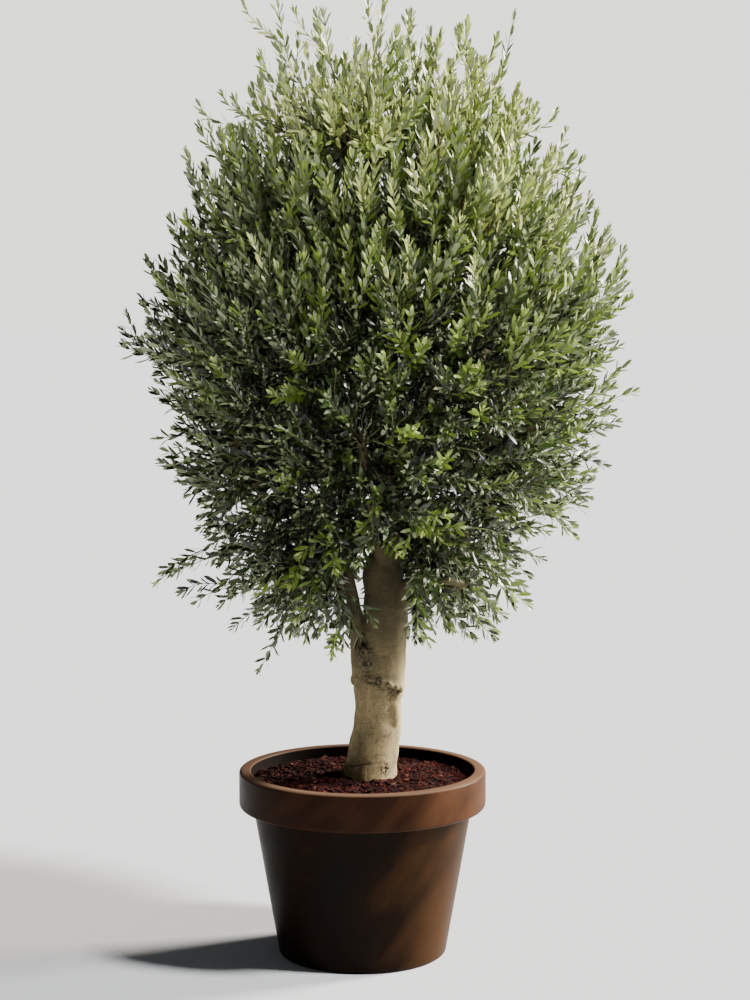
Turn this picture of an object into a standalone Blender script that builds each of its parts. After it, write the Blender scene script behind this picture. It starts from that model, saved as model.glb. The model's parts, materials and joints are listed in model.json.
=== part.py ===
"""Potted olive tree: a round tapered pot filled with bark mulch, a leaning trunk with a second stem,
its boughs, and a broad crown of 21 leafy masses.

Metres, +Z up. The origin is the centre of the pot's flat underside, +X is the tree's right and
-Y its front. Every sub-part is one closed solid in an object of its own. Run it with
blender --background --python part.py, or from Blender's text editor.
"""

import math
import random

import bmesh
import bpy
from mathutils import Vector
from mathutils.bvhtree import BVHTree

UP = Vector((0, 0, 1))
GOLDEN_ANGLE = math.pi * (3 - math.sqrt(5))
GAP = 0.0003  # between two sub-parts that touch
SEED = 11

# --- pot -------------------------------------------------------------------------------------
POT_SIDES = 32
POT_HEIGHT = 0.490
FOOT_RADIUS = 0.222
FOOT_ROUNDING = 0.012
WALL = 0.009
FLOOR = 0.016
BAND_RADIUS = 0.325  # the thick band round the rim
BAND_HEIGHT = 0.098
BAND_BOTTOM = POT_HEIGHT - BAND_HEIGHT
BAND_ROUNDING = 0.008  # along its top edges
BAND_ROUNDING_BELOW = 0.011
RIM_WIDTH = 0.031
RIM_INNER_RADIUS = BAND_RADIUS - RIM_WIDTH
RIM_DEPTH = 0.078  # down to where the inside narrows to the body's
BODY_TOP = BAND_BOTTOM + 0.004  # the tapered body runs in under the band
BODY_TOP_RADIUS = 0.290
SHOULDER = BAND_BOTTOM - 0.010  # the inside's taper starts here

# --- mulch -----------------------------------------------------------------------------------
MULCH_EDGE = 0.460
MULCH_TOP = 0.4715  # flat under the trunk
MULCH_FLAT_RADIUS = 0.105
MULCH_SHOULDER = (0.200, 0.4688)  # radius, height: it falls away gently outside the trunk's flat

# --- trunk: height, how far its axis stands to the right, radius --------------------------------
TRUNK_FOOT = MULCH_TOP + GAP
TRUNK_RINGS = (
    (TRUNK_FOOT, 0.020, 0.0705),  # root flare, cut flat at the ground
    (0.488, 0.020, 0.0690),
    (0.508, 0.022, 0.0655),
    (0.545, 0.029, 0.0645),
    (0.595, 0.036, 0.0640),
    (0.650, 0.039, 0.0610),
    (0.682, 0.039, 0.0620),
    (0.700, 0.040, 0.0675),  # the scar ridge
    (0.716, 0.042, 0.0650),
    (0.760, 0.048, 0.0630),
    (0.810, 0.054, 0.0600),
    (0.870, 0.061, 0.0590),
    (0.930, 0.061, 0.0575),
    (0.985, 0.058, 0.0510),  # the fork
    (1.030, 0.060, 0.0400),
    (1.100, 0.071, 0.0310),
)
TRUNK_SIDES = 14
TRUNK_LOBES = 3  # shallow flutes, as old olive wood has
TRUNK_LOBE_DEPTH = 0.045

# --- limbs ---------------------------------------------------------------------------------------
LIMB_SIDES = 6
LIMB_STEPS = 4
COLLAR = 0.30  # how much a limb swells where it leaves its parent
COLLAR_RUN = 0.33  # share of its length that the collar fades over
ROOT_TO_PARENT = 0.8  # a bough is at most this much as thick as its parent
MAIN_ARRIVE_LIFT = 0.6  # how strongly a main limb's tip turns up
BOUGH_LEAVE = 0.5  # how far a bough first follows its parent
BOUGH_ARRIVE = 0.35  # how far its tip turns to the way its mass faces
BOUGH_PULL = 0.9
CLEARANCE = 0.001  # kept round a limb by what is tested against its faces
BOUGH_RADIUS = 0.0125
BOUGH_TIP_RADIUS = 0.0080
MAIN_LIMBS = (
    # name, start, way it leaves and how firmly, mass at its tip, radius, tip radius
    ("leader", (0.071, 0.0, 1.1003), (0.05, 0.01, 1.0), 1.0, "top_front_left", 0.0305, 0.0110),
    ("side_stem", (-0.008, -0.016, 0.735), (-0.02, -0.01, 1.0), 2.8, "lower_left", 0.0160, 0.0110),
    ("bough_right", (0.060, -0.006, 0.925), (1.0, -0.05, 0.60), 1.0, "lower_right", 0.0290, 0.0130),
    ("bough_back", (0.058, 0.004, 0.985), (0.15, 1.0, 0.80), 1.0, "lower_back_right", 0.0230, 0.0120),
    ("bough_front", (0.060, -0.002, 1.030), (-0.20, -1.0, 1.10), 1.0, "lower_front", 0.0210, 0.0115),
)

# --- crown -------------------------------------------------------------------------------------
HEIGHT = 2.475  # of the whole tree, from the ground that the pot stands on
AXIS_X = 0.030  # the crown stands a little to the right of the pot's axis
OUTLINE = (
    # height, reach to the left, reach to the right
    (0.80, 0.24, 0.26),
    (0.90, 0.36, 0.38),
    (1.05, 0.43, 0.42),
    (1.25, 0.49, 0.56),
    (1.45, 0.56, 0.60),
    (1.62, 0.62, 0.64),
    (1.80, 0.55, 0.62),
    (2.00, 0.48, 0.54),
    (2.18, 0.42, 0.45),
    (2.32, 0.33, 0.38),
    (2.42, 0.25, 0.30),
    (2.47, 0.12, 0.14),
)
UNDERSIDE = 0.80  # the lowest sprays
UNDERSIDE_CLEAR_RADIUS = 0.20  # nearer the trunk than this the underside rises
UNDERSIDE_SLOPE = 1.5
LEVELS = {
    # level: height of its masses, their distance from the axis as a share of the reach
    "low": (1.05, 0.64),
    "lower": (1.37, 0.66),
    "middle": (1.69, 0.62),
    "upper": (2.00, 0.56),
    "top": (2.23, 0.44),
}
MASSES = (
    # name, level, azimuth (0 is right, 90 is back), limb it comes from, how far along that limb
    ("low_back_right", "low", 45, "bough_right", 0.30),
    ("low_back_left", "low", 140, "side_stem", 0.48),
    ("low_front_left", "low", 225, "side_stem", 0.40),
    ("low_front_right", "low", 318, "bough_right", 0.22),
    ("lower_front", "lower", 266, "bough_front", 1.0),
    ("lower_right", "lower", 342, "bough_right", 1.0),
    ("lower_back_right", "lower", 58, "bough_back", 1.0),
    ("lower_back_left", "lower", 128, "bough_back", 0.45),
    ("lower_left", "lower", 194, "side_stem", 1.0),
    ("middle_front_right", "middle", 306, "leader", 0.13),
    ("middle_right", "middle", 18, "leader", 0.19),
    ("middle_back", "middle", 90, "leader", 0.26),
    ("middle_left", "middle", 162, "leader", 0.22),
    ("middle_front_left", "middle", 234, "leader", 0.17),
    ("upper_front_right", "upper", 318, "leader", 0.44),
    ("upper_back_right", "upper", 48, "leader", 0.56),
    ("upper_back_left", "upper", 135, "leader", 0.47),
    ("upper_front_left", "upper", 225, "leader", 0.60),
    ("top_right", "top", 0, "leader", 0.89),
    ("top_back_left", "top", 122, "leader", 0.75),
    ("top_front_left", "top", 242, "leader", 1.0),
)
# Shoots that stand out of the crown, by the place of their tip.
LONG_SHOOTS = (
    (-0.299, -0.05, 2.475),
    (0.015, -0.06, 2.475),
    (0.345, 0.04, 2.395),
    (0.180, 0.22, 2.430),
    (-0.420, 0.03, 2.223),
    (0.607, 0.05, 1.946),
    (-0.547, -0.06, 1.818),
    (0.690, -0.02, 1.733),
    (-0.622, 0.02, 1.604),
    (0.705, -0.04, 1.488),
    (0.634, 0.00, 1.292),
    (-0.469, -0.10, 1.258),
    (-0.542, 0.03, 0.977),
    (0.426, -0.10, 0.938),
    (-0.264, -0.16, 0.779),
    (-0.080, -0.620, 1.640),
    (0.200, -0.560, 1.360),
    (0.110, 0.650, 1.690),
    (-0.220, 0.580, 1.470),
)
TURN_UP_FROM = 1.25  # masses above this height face upwards as well as outwards
TURN_UP = 1.1
ENTRY = 0.10  # a mass's stem starts this far short of its middle
ENTRY_BELOW = 0.45  # and so much below it
STEM_TIP_RADIUS = 0.0060
STEM_SIDES = 5
STEM_LENGTH = 0.15
STEM_STRAIGHT = 0.02  # it first carries on the way its bough ran
STEM_SLIMMER = 0.97  # than the bough's tip
STEM_PAST_MIDDLE = 0.06  # it heads for a place this far outwards of its mass's middle
STEM_TURN = 1.5  # how strongly it bends that way
LIMBS_WITHIN = 0.5  # limbs farther from a mass's middle can't reach its space

# --- twigs and leaves: each leaf stands for a spray of real ones --------------------------------
TWIGS = 8
TWIG_RADIUS = 0.0062
TWIG_TIP_RADIUS = 0.0042
SHORTEST_TWIG = 0.045
TWIG_STARTS = (0.95, 0.8, 0.6, 0.45, 0.3)  # shares of the stem that a long shoot may start at
TWIG_SHORTENINGS = 10  # tries for a twig, each shorter by SHORTEN of its reach
SHORTEN = 0.07
FARTHEST = 0.5  # that a space is searched, in steps of ROOM_STEP
ROOM_STEP = 0.01
FAN = math.radians(125)  # half-angle that a mass's twigs fan out over
SHORTEST_REACH = 0.02  # of a twig past its mass's middle
TWIG_LEAVES_STEM = (0.25, 0.95)  # shares of the stem between which the other twigs start
TESTED_AT = (0.25, 0.5, 0.75, 1.0)  # shares of a twig where its space is tested
EDGE_SHARES = (0.35, 0.7)  # and of a leaf's edges
NODES_AT = (0.86, 0.62, 0.38)  # where along a twig its leaves sit, up to two at each
MOST_LEAVES = 25  # in a mass, beside those its twigs run out into
LEAF_LENGTH = 0.158
LEAF_WIDTH = 0.068
LEAF_THICKNESS = 0.0040
LEAF_WIDEST = 0.56
LEAF_DROOP = 0.06
LEAF_LIFT = 0.35  # how strongly the leaf at a twig's end turns up
LEAF_SINK = 0.002  # how far a leaf's root point is set back behind the twig's axis
END_SINK = 0.01  # and how far the leaf at a twig's end is set back
PAIR_STEP = 0.04  # between the two leaves of a pair, as a share of the twig
LEAF_ANGLE = math.radians(48)
LEAF_SIZES = (1.0, 0.85, 0.7)  # the largest that fits is kept
SPACE_MARGIN = 0.0015  # each side of the plane between two masses
LIMB_MARGIN = 0.004
LEAF_SPACING = 0.010  # from a leaf to another leaf's midrib, or to another twig


def clear_scene():
    for obj in list(bpy.data.objects):
        bpy.data.objects.remove(obj, do_unlink=True)


def material(name, colour, roughness):
    mat = bpy.data.materials.new(name)
    mat.use_nodes = True
    shader = mat.node_tree.nodes["Principled BSDF"]
    shader.inputs["Base Color"].default_value = (*colour, 1)
    shader.inputs["Roughness"].default_value = roughness
    shader.inputs["Metallic"].default_value = 0
    mat.diffuse_color = (*colour, 1)
    return mat


def add_object(name, bm, mat):
    """An object of this mesh, shaded smooth with its sharp edges kept."""
    bmesh.ops.recalc_face_normals(bm, faces=bm.faces)
    mesh = bpy.data.meshes.new(name)
    bm.to_mesh(mesh)
    bm.free()
    mesh.shade_smooth()
    mesh.set_sharp_from_angle(angle=math.radians(40))
    mesh.materials.append(mat)
    obj = bpy.data.objects.new(name, mesh)
    bpy.context.scene.collection.objects.link(obj)
    return obj


# --- pot and mulch -----------------------------------------------------------------------------


def turned(name, profile, mat):
    """A solid turned about the vertical axis from its half outline, whose two ends lie on the axis."""
    bm = bmesh.new()
    verts = [bm.verts.new((radius, 0, height)) for radius, height in profile]
    edges = [bm.edges.new(pair) for pair in zip(verts, verts[1:])]
    bmesh.ops.spin(
        bm,
        geom=verts + edges,
        cent=(0, 0, 0),
        axis=(0, 0, 1),
        angle=math.tau,
        steps=POT_SIDES,
        use_duplicate=False,
    )
    bmesh.ops.remove_doubles(bm, verts=bm.verts, dist=1e-5)
    return add_object(name, bm, mat)


def rounding(radius, height, size, start, end, steps):
    """Points of a round edge about this centre, from one angle to another."""
    angles = [start + (end - start) * i / steps for i in range(steps + 1)]
    return [(radius + size * math.cos(a), height + size * math.sin(a)) for a in angles]


def body_radius(height):
    """The tapered body's outer radius."""
    return FOOT_RADIUS + (BODY_TOP_RADIUS - FOOT_RADIUS) * height / BAND_BOTTOM


def inner_radius(height):
    """The tapered body's inner radius."""
    return body_radius(height) - WALL


def make_pot(mat):
    quarter = math.pi / 2
    below = BAND_ROUNDING_BELOW
    profile = [(0, 0), (FOOT_RADIUS - FOOT_ROUNDING, 0)]
    profile += rounding(FOOT_RADIUS - FOOT_ROUNDING, FOOT_ROUNDING, FOOT_ROUNDING, -quarter / 2, 0, 1)
    profile.append((BODY_TOP_RADIUS, BODY_TOP))
    profile += rounding(BAND_RADIUS - below, BAND_BOTTOM + below, below, -quarter * 0.75, 0, 2)
    profile += rounding(
        BAND_RADIUS - BAND_ROUNDING, POT_HEIGHT - BAND_ROUNDING, BAND_ROUNDING, 0, quarter, 2
    )
    profile += [
        (RIM_INNER_RADIUS + BAND_ROUNDING / 2, POT_HEIGHT),
        (RIM_INNER_RADIUS, POT_HEIGHT - BAND_ROUNDING / 2),
        (RIM_INNER_RADIUS, POT_HEIGHT - RIM_DEPTH),
        (inner_radius(SHOULDER), SHOULDER),
        (inner_radius(FLOOR), FLOOR),
        (0, FLOOR),
    ]
    return turned("pot", profile, mat)


def make_mulch(mat):
    slack = 2 * GAP  # measured across; the sloping walls leave a little less
    profile = [
        (0, FLOOR + GAP),
        (inner_radius(FLOOR) - slack, FLOOR + GAP),
        (inner_radius(SHOULDER) - slack, SHOULDER),
        (RIM_INNER_RADIUS - slack, POT_HEIGHT - RIM_DEPTH + slack),
        (RIM_INNER_RADIUS - slack, MULCH_EDGE),
        MULCH_SHOULDER,
        (MULCH_FLAT_RADIUS, MULCH_TOP),
        (0, MULCH_TOP),
    ]
    return turned("mulch", profile, mat)


# --- lofted solids: trunk, limbs, twigs and leaves ----------------------------------------------


def add_flat(bm, a, b, c, d):
    """One face through four corners where they lie in a plane, or two triangles."""
    normal = (b.co - a.co).cross(c.co - a.co).normalized()
    if abs(normal.dot(d.co - a.co)) < 1e-7:
        bm.faces.new((a, b, c, d))
    else:
        bm.faces.new((a, b, c))
        bm.faces.new((a, c, d))


def loft(name, rings, mat, tip=None):
    """A closed solid through rings of equal count, ending in a point where a tip is given."""
    bm = bmesh.new()
    loops = [[bm.verts.new(p) for p in ring] for ring in rings]
    bm.faces.new(list(reversed(loops[0])))
    for low, high in zip(loops, loops[1:]):
        for i in range(len(low)):
            j = (i + 1) % len(low)
            add_flat(bm, low[i], low[j], high[j], high[i])
    if tip is None:
        bm.faces.new(loops[-1])
    else:
        point = bm.verts.new(tip)
        last = loops[-1]
        for i in range(len(last)):
            bm.faces.new((last[i], last[(i + 1) % len(last)], point))
    return add_object(name, bm, mat)


def carried_frames(path, first=None):
    """(side, across) at each point of a path, carried along it so that a tube doesn't twist.

    Where first is given, the first ring faces that way instead of along the path.
    """
    frames = []
    side = None
    for i in range(len(path)):
        before = path[max(i - 1, 0)]
        after = path[min(i + 1, len(path) - 1)]
        along = (after - before).normalized()
        if i == 0 and first is not None:
            along = first
        if side is None:
            side = along.cross(UP if abs(along.z) < 0.95 else Vector((0, 1, 0)))
        side = (side - along * side.dot(along)).normalized()
        frames.append((side, along.cross(side)))
    return frames


def tube_rings(path, radii, sides, first=None):
    rings = []
    for point, radius, (side, across) in zip(path, radii, carried_frames(path, first)):
        angles = [math.tau * k / sides for k in range(sides)]
        rings.append([point + radius * (math.cos(a) * side + math.sin(a) * across) for a in angles])
    return rings


def tube_tree(rings):
    """The faces of a tube, for tests of what crosses it."""
    sides = len(rings[0])
    points = [p for ring in rings for p in ring]
    faces = []
    for k in range(len(rings) - 1):
        for i in range(sides):
            j = (i + 1) % sides
            faces.append((k * sides + i, k * sides + j, (k + 1) * sides + j, (k + 1) * sides + i))
    return BVHTree.FromPolygons(points, faces)


def hermite(start, start_pull, end, end_pull, steps):
    """Points of the smooth curve that leaves start along start_pull and reaches end along end_pull."""
    points = []
    for i in range(steps + 1):
        t = i / steps
        points.append(
            (2 * t**3 - 3 * t**2 + 1) * start
            + (t**3 - 2 * t**2 + t) * start_pull
            + (3 * t**2 - 2 * t**3) * end
            + (t**3 - t**2) * end_pull
        )
    return points


def along_path(path, share):
    """The point at this share of a path's length, and the path's direction there."""
    lengths = [(b - a).length for a, b in zip(path, path[1:])]
    left = share * sum(lengths)
    for i, length in enumerate(lengths):
        if left <= length or i == len(lengths) - 1:
            part = min(left / length, 1.0)
            return path[i].lerp(path[i + 1], part), (path[i + 1] - path[i]).normalized()
        left -= length
    return path[-1], (path[-1] - path[-2]).normalized()


def trunk_ring(height, shift, radius, extra=0.0):
    """One fluted ring of the trunk."""
    points = []
    for i in range(TRUNK_SIDES):
        a = math.tau * i / TRUNK_SIDES
        flute = 1 + TRUNK_LOBE_DEPTH * math.sin(TRUNK_LOBES * a + 7 * height)
        r = radius * flute + extra
        points.append(Vector((shift + r * math.cos(a), r * math.sin(a), height)))
    return points


def make_trunk(name, mat, extra=0.0):
    return loft(name, [trunk_ring(z, x, r, extra) for z, x, r in TRUNK_RINGS], mat)


def gap_to_path(point, path):
    """How far a point lies from the nearest piece of a path."""
    nearest = math.inf
    for a, b in zip(path, path[1:]):
        ab = b - a
        t = min(max((point - a).dot(ab) / ab.length_squared, 0), 1)
        nearest = min(nearest, (point - a - ab * t).length)
    return nearest


class Limb:
    """A stem or bough: its path, and its radius at each point of the path."""

    def __init__(self, name, path, radii, parent=None):
        self.name = name
        self.path = path
        self.radii = radii
        self.parent = parent
        self.tree = tube_tree(self.rings(CLEARANCE))

    def rings(self, extra=0.0):
        radii = [r + extra for r in self.radii]
        first = UP if self.parent is None else None  # a limb that stands on the trunk's flat top
        return tube_rings(self.path, radii, LIMB_SIDES, first)

    def build(self, mat, extra=0.0, suffix=""):
        return loft(self.name + suffix, self.rings(extra), mat)

    def gap_to(self, point):
        """How far a point lies outside the limb's surface."""
        nearest = math.inf
        for a, b, ra, rb in zip(self.path, self.path[1:], self.radii, self.radii[1:]):
            ab = b - a
            t = min(max((point - a).dot(ab) / ab.length_squared, 0), 1)
            nearest = min(nearest, (point - a - ab * t).length - (ra + (rb - ra) * t))
        return nearest


def limb_radii(radius, tip_radius, steps, collar=True):
    """An even taper, swollen into a collar where the limb leaves its parent."""
    radii = []
    for i in range(steps + 1):
        t = i / steps
        swell = COLLAR * radius * max(0, 1 - t / COLLAR_RUN) if collar else 0
        radii.append(radius + (tip_radius - radius) * t + swell)
    return radii


def trunk_limb():
    path = [Vector((x, 0, z)) for z, x, _ in TRUNK_RINGS]
    return Limb("trunk", path, [r for _, _, r in TRUNK_RINGS])


def entry_to(mass, start):
    """Where a limb from start enters a mass: short of its middle, and a little below."""
    inwards = (start - mass.middle).normalized()
    return mass.middle + (inwards - ENTRY_BELOW * UP).normalized() * ENTRY


def main_limbs(masses):
    limbs = {"trunk": trunk_limb()}
    by_name = {mass.name: mass for mass in masses}
    for name, start, leaves, firmness, mass_name, radius, tip_radius in MAIN_LIMBS:
        start = Vector(start)
        tip = entry_to(by_name[mass_name], start.lerp(by_name[mass_name].middle, 0.5))
        parent = None if start.z > TRUNK_RINGS[-1][0] else "trunk"
        span = (tip - start).length
        leave = Vector(leaves).normalized() * span * firmness
        arrive = ((tip - start).normalized() + MAIN_ARRIVE_LIFT * UP).normalized()
        path = hermite(start, leave, tip, arrive * span, LIMB_STEPS + 2)
        radii = limb_radii(radius, tip_radius, LIMB_STEPS + 2, collar=parent is not None)
        limbs[name] = Limb(name, path, radii, parent)
    return limbs


# --- the crown's space ---------------------------------------------------------------------------


def crown_reach(height, azimuth):
    """How far the crown reaches from its axis at this height, that way round."""
    rows = OUTLINE
    if height <= rows[0][0] or height >= rows[-1][0]:
        return 0.0
    for (z0, l0, r0), (z1, l1, r1) in zip(rows, rows[1:]):
        if z0 <= height <= z1:
            t = (height - z0) / (z1 - z0)
            left, right = l0 + (l1 - l0) * t, r0 + (r1 - r0) * t
            return 0.5 * (left + right) + 0.5 * (right - left) * math.cos(azimuth)
    return 0.0


class Mass:
    """A mass of foliage: its middle, and the limb whose tip its stem meets."""

    def __init__(self, name, level, azimuth):
        height, share = LEVELS[level]
        a = math.radians(azimuth)
        out = Vector((math.cos(a), math.sin(a), 0))
        self.name = name
        self.middle = Vector((AXIS_X, 0, height)) + out * share * crown_reach(height, a)
        self.outwards = (out + (height - TURN_UP_FROM) * TURN_UP * UP).normalized()
        self.shoots = []


def beyond_neighbours(point, mass, masses):
    """How far a point lies on the mass's own side of the planes between it and its neighbours."""
    own = (point - mass.middle).length_squared
    least = math.inf
    for other in masses:
        if other is not mass:
            apart = (other.middle - mass.middle).length
            least = min(least, ((point - other.middle).length_squared - own) / (2 * apart))
    return least


def in_crown(point):
    """Whether a point lies inside the crown's outline and above its underside."""
    x, y = point.x - AXIS_X, point.y
    radius = math.hypot(x, y)
    floor = UNDERSIDE + UNDERSIDE_SLOPE * max(0, UNDERSIDE_CLEAR_RADIUS - radius)
    return point.z >= floor and radius <= crown_reach(point.z, math.atan2(y, x))


class Space:
    """The room that one mass may fill: its share of the crown, clear of every limb."""

    def __init__(self, mass, masses, limbs):
        self.mass = mass
        self.masses = masses
        self.limbs = limbs

    def holds(self, points, limbs_too=True, crown_too=True):
        for point in points:
            if point.z > HEIGHT + GAP:
                return False
            if beyond_neighbours(point, self.mass, self.masses) < SPACE_MARGIN:
                return False
            if crown_too and not in_crown(point):
                return False
            if limbs_too and any(limb.gap_to(point) < LIMB_MARGIN for limb in self.limbs):
                return False
        return True

    def room(self, direction):
        """How far the space runs from the mass's middle, that way."""
        length = 0.0
        while length < FARTHEST:
            if not self.holds([self.mass.middle + direction * (length + ROOM_STEP)], False):
                break
            length += ROOM_STEP
        return length


# --- foliage -------------------------------------------------------------------------------------


class Leaf:
    """A lance-shaped leaf, flat below and ridged above: its root is sunk in its twig."""

    def __init__(self, place, along, face, size):
        along = along.normalized()
        face = (face - along * face.dot(along)).normalized()
        across = along.cross(face)
        length = LEAF_LENGTH * size
        half = LEAF_WIDTH * size / 2
        self.place = place
        self.root = place - along * LEAF_SINK
        self.middle = place + along * length * LEAF_WIDEST
        self.ring = [
            self.middle + face * LEAF_THICKNESS,
            self.middle + across * half,
            self.middle - across * half,
        ]
        self.tip = place + along * length - face * length * LEAF_DROOP
        self.midrib = [place, self.middle, self.tip]
        faces = [(end, 1 + i, 1 + (i + 1) % 3) for end in (0, 4) for i in range(3)]
        self.tree = BVHTree.FromPolygons([self.root, *self.ring, self.tip], faces)

    def samples(self):
        """Points all over the leaf, for the tests of its space."""
        points = [self.tip, *self.ring]
        for target in self.ring:
            for share in EDGE_SHARES:
                points.append(self.place.lerp(target, share))
                points.append(self.tip.lerp(target, share))
        points += [self.middle.lerp(self.ring[1], 0.5), self.middle.lerp(self.ring[2], 0.5)]
        return points

    def build(self, name, mat):
        bm = bmesh.new()
        root, tip = bm.verts.new(self.root), bm.verts.new(self.tip)
        ring = [bm.verts.new(p) for p in self.ring]
        for i in range(3):
            j = (i + 1) % 3
            bm.faces.new((root, ring[i], ring[j]))
            bm.faces.new((tip, ring[j], ring[i]))
        return add_object(name, bm, mat)


class Twig:
    """A straight three-sided twig that runs out into a leaf."""

    def __init__(self, start, end):
        self.path = [start, end]
        self.along = (end - start).normalized()
        self.side, self.across = carried_frames(self.path)[0]
        rings = tube_rings(self.path, (TWIG_RADIUS, TWIG_TIP_RADIUS), 3)
        top = max(range(3), key=lambda i: rings[1][i].z)  # the corner under the leaf's ridge
        self.rings = [ring[top:] + ring[:top] for ring in rings]
        heading = (self.along + LEAF_LIFT * UP * (1 - abs(self.along.z))).normalized()
        face = self.rings[1][0] - end
        self.end_leaf = Leaf(end - self.along * END_SINK, heading, face, 1.0)
        self.tree = tube_tree(self.rings)

    def side_leaf(self, share, flat, size, rng):
        """A leaf on one of the twig's three flats, at this share of its length."""
        turn = math.tau * (flat + 0.5) / 3
        outwards = math.cos(turn) * self.side + math.sin(turn) * self.across
        angle = LEAF_ANGLE * rng.uniform(0.85, 1.15)
        heading = math.cos(angle) * self.along + math.sin(angle) * outwards
        return Leaf(self.path[0].lerp(self.path[1], share), heading, self.along, size)

    def build(self, name, mat):
        return loft(name, [*self.rings, self.end_leaf.ring], mat, tip=self.end_leaf.tip)


def fan_directions(mass, count):
    """Directions spread evenly over a fan about the mass's outward one."""
    pole = mass.outwards
    side = pole.cross(UP).normalized() if abs(pole.z) < 0.95 else Vector((1, 0, 0))
    over = side.cross(pole)
    directions = []
    for k in range(count):
        polar = math.acos(1 - (k + 0.5) / count * (1 - math.cos(FAN)))
        round_pole = k * GOLDEN_ANGLE
        flat = math.cos(round_pole) * side + math.sin(round_pole) * over
        directions.append((math.cos(polar) * pole + math.sin(polar) * flat).normalized())
    return directions


def fits(leaf, space, in_outline, leaves, woody):
    """Whether a leaf keeps to its space and clear of the mass's other leaves and of this wood."""
    if any(leaf.tree.overlap(other.tree) for other in leaves + woody):
        return False
    points = leaf.samples()
    if not space.holds(points, True, in_outline):
        return False
    if any(gap_to_path(p, other.midrib) < LEAF_SPACING for other in leaves for p in points):
        return False
    return not any(leaf.tree.overlap(limb.tree) for limb in space.limbs)


def shoot_twig(start, tip):
    """The twig whose end leaf reaches exactly to tip."""
    end = tip
    for _ in range(8):
        twig = Twig(start, end)
        end = end + tip - twig.end_leaf.tip
    return twig


def twig_tries(mass, space, stem_path, rng):
    """For each twig of a mass: the twigs to try for it in turn, and whether it keeps to the outline."""
    for shoot in mass.shoots:
        starts = [along_path(stem_path, share)[0] for share in TWIG_STARTS]
        yield [shoot_twig(start, shoot) for start in starts], False
    for direction in fan_directions(mass, TWIGS):
        room = space.room(direction)
        tries = []
        for step in range(TWIG_SHORTENINGS):
            reach = (room - LEAF_LENGTH) * (1 - SHORTEN * step)
            start = along_path(stem_path, rng.uniform(*TWIG_LEAVES_STEM))[0]
            end = mass.middle + direction * max(reach, SHORTEST_REACH)
            if (end - start).length > SHORTEST_TWIG:
                tries.append(Twig(start, end))
        yield tries, True


def grow(mass, space, stem, rng):
    """(twigs, leaves) of a mass: what would leave its space or touch a limb is left out."""
    twigs, outlines = [], []
    for tries, in_outline in twig_tries(mass, space, stem.path, rng):
        for twig in tries:
            middles = [twig.path[0].lerp(twig.path[1], share) for share in TESTED_AT]
            end_leaves = [other.end_leaf for other in twigs]
            if any(twig.tree.overlap(leaf.tree) for leaf in end_leaves):
                continue
            if space.holds(middles, True, False):
                if fits(twig.end_leaf, space, in_outline, end_leaves, [*twigs, stem]):
                    twigs.append(twig)
                    outlines.append(in_outline)
                    break
    leaves = []
    for share in NODES_AT:
        for twig, in_outline in zip(twigs, outlines):
            others = [other for other in twigs if other is not twig] + [stem]
            placed = 0
            for flat in rng.sample(range(3), 3):
                for size in LEAF_SIZES:
                    if placed == 2 or len(leaves) == MOST_LEAVES:
                        break
                    at = share + PAIR_STEP * (placed - 0.5)
                    leaf = twig.side_leaf(at, flat, size * rng.uniform(0.94, 1.08), rng)
                    if fits(leaf, space, in_outline, leaves + [t.end_leaf for t in twigs], others):
                        leaves.append(leaf)
                        placed += 1
                        break
    return twigs, leaves


# --- fusing and cutting --------------------------------------------------------------------------


def evaluated_mesh(obj):
    graph = bpy.context.evaluated_depsgraph_get()
    return bpy.data.meshes.new_from_object(obj.evaluated_get(graph))


def is_closed(mesh):
    """Whether every edge of a mesh is shared by exactly two faces."""
    shared = {}
    for polygon in mesh.polygons:
        for key in polygon.edge_keys:
            shared[key] = shared.get(key, 0) + 1
    return all(count == 2 for count in shared.values())


def cut(obj, cutter):
    """Takes the cutter's shape out of obj."""
    cutter.hide_render = True
    cutter.display_type = "WIRE"
    boolean = obj.modifiers.new("cut", "BOOLEAN")
    boolean.operation = "DIFFERENCE"
    boolean.solver = "EXACT"
    boolean.object = cutter
    mesh = evaluated_mesh(obj)
    obj.modifiers.clear()
    obj.data = mesh
    bpy.data.objects.remove(cutter, do_unlink=True)
    keep_largest_shell(obj)


def fuse(obj, others):
    """Joins the other objects to obj by one union, and keeps its largest closed shell."""
    collection = bpy.data.collections.new(obj.name + "_pieces")
    bpy.context.scene.collection.children.link(collection)
    for other in others:
        bpy.context.scene.collection.objects.unlink(other)
        collection.objects.link(other)
    boolean = obj.modifiers.new("fuse", "BOOLEAN")
    boolean.operation = "UNION"
    boolean.operand_type = "COLLECTION"
    boolean.collection = collection
    boolean.solver = "EXACT"
    mesh = evaluated_mesh(obj)
    if not is_closed(mesh):
        boolean.solver = "MANIFOLD"
        mesh = evaluated_mesh(obj)
    obj.modifiers.clear()
    obj.data = mesh
    for other in others:
        bpy.data.objects.remove(other, do_unlink=True)
    bpy.data.collections.remove(collection)
    keep_largest_shell(obj)


def keep_largest_shell(obj):
    """Fills a sealed hollow and drops a loose scrap: both are shells of their own."""
    bm = bmesh.new()
    bm.from_mesh(obj.data)
    unseen = set(bm.verts)
    shells = []
    while unseen:
        todo = [unseen.pop()]
        shell = set(todo)
        while todo:
            for edge in todo.pop().link_edges:
                for vert in edge.verts:
                    if vert in unseen:
                        unseen.remove(vert)
                        shell.add(vert)
                        todo.append(vert)
        shells.append(shell)
    shells.sort(key=len)
    for shell in shells[:-1]:
        bmesh.ops.delete(bm, geom=list(shell), context="VERTS")
    bm.to_mesh(obj.data)
    bm.free()


# --- assembly --------------------------------------------------------------------------------------


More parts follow.
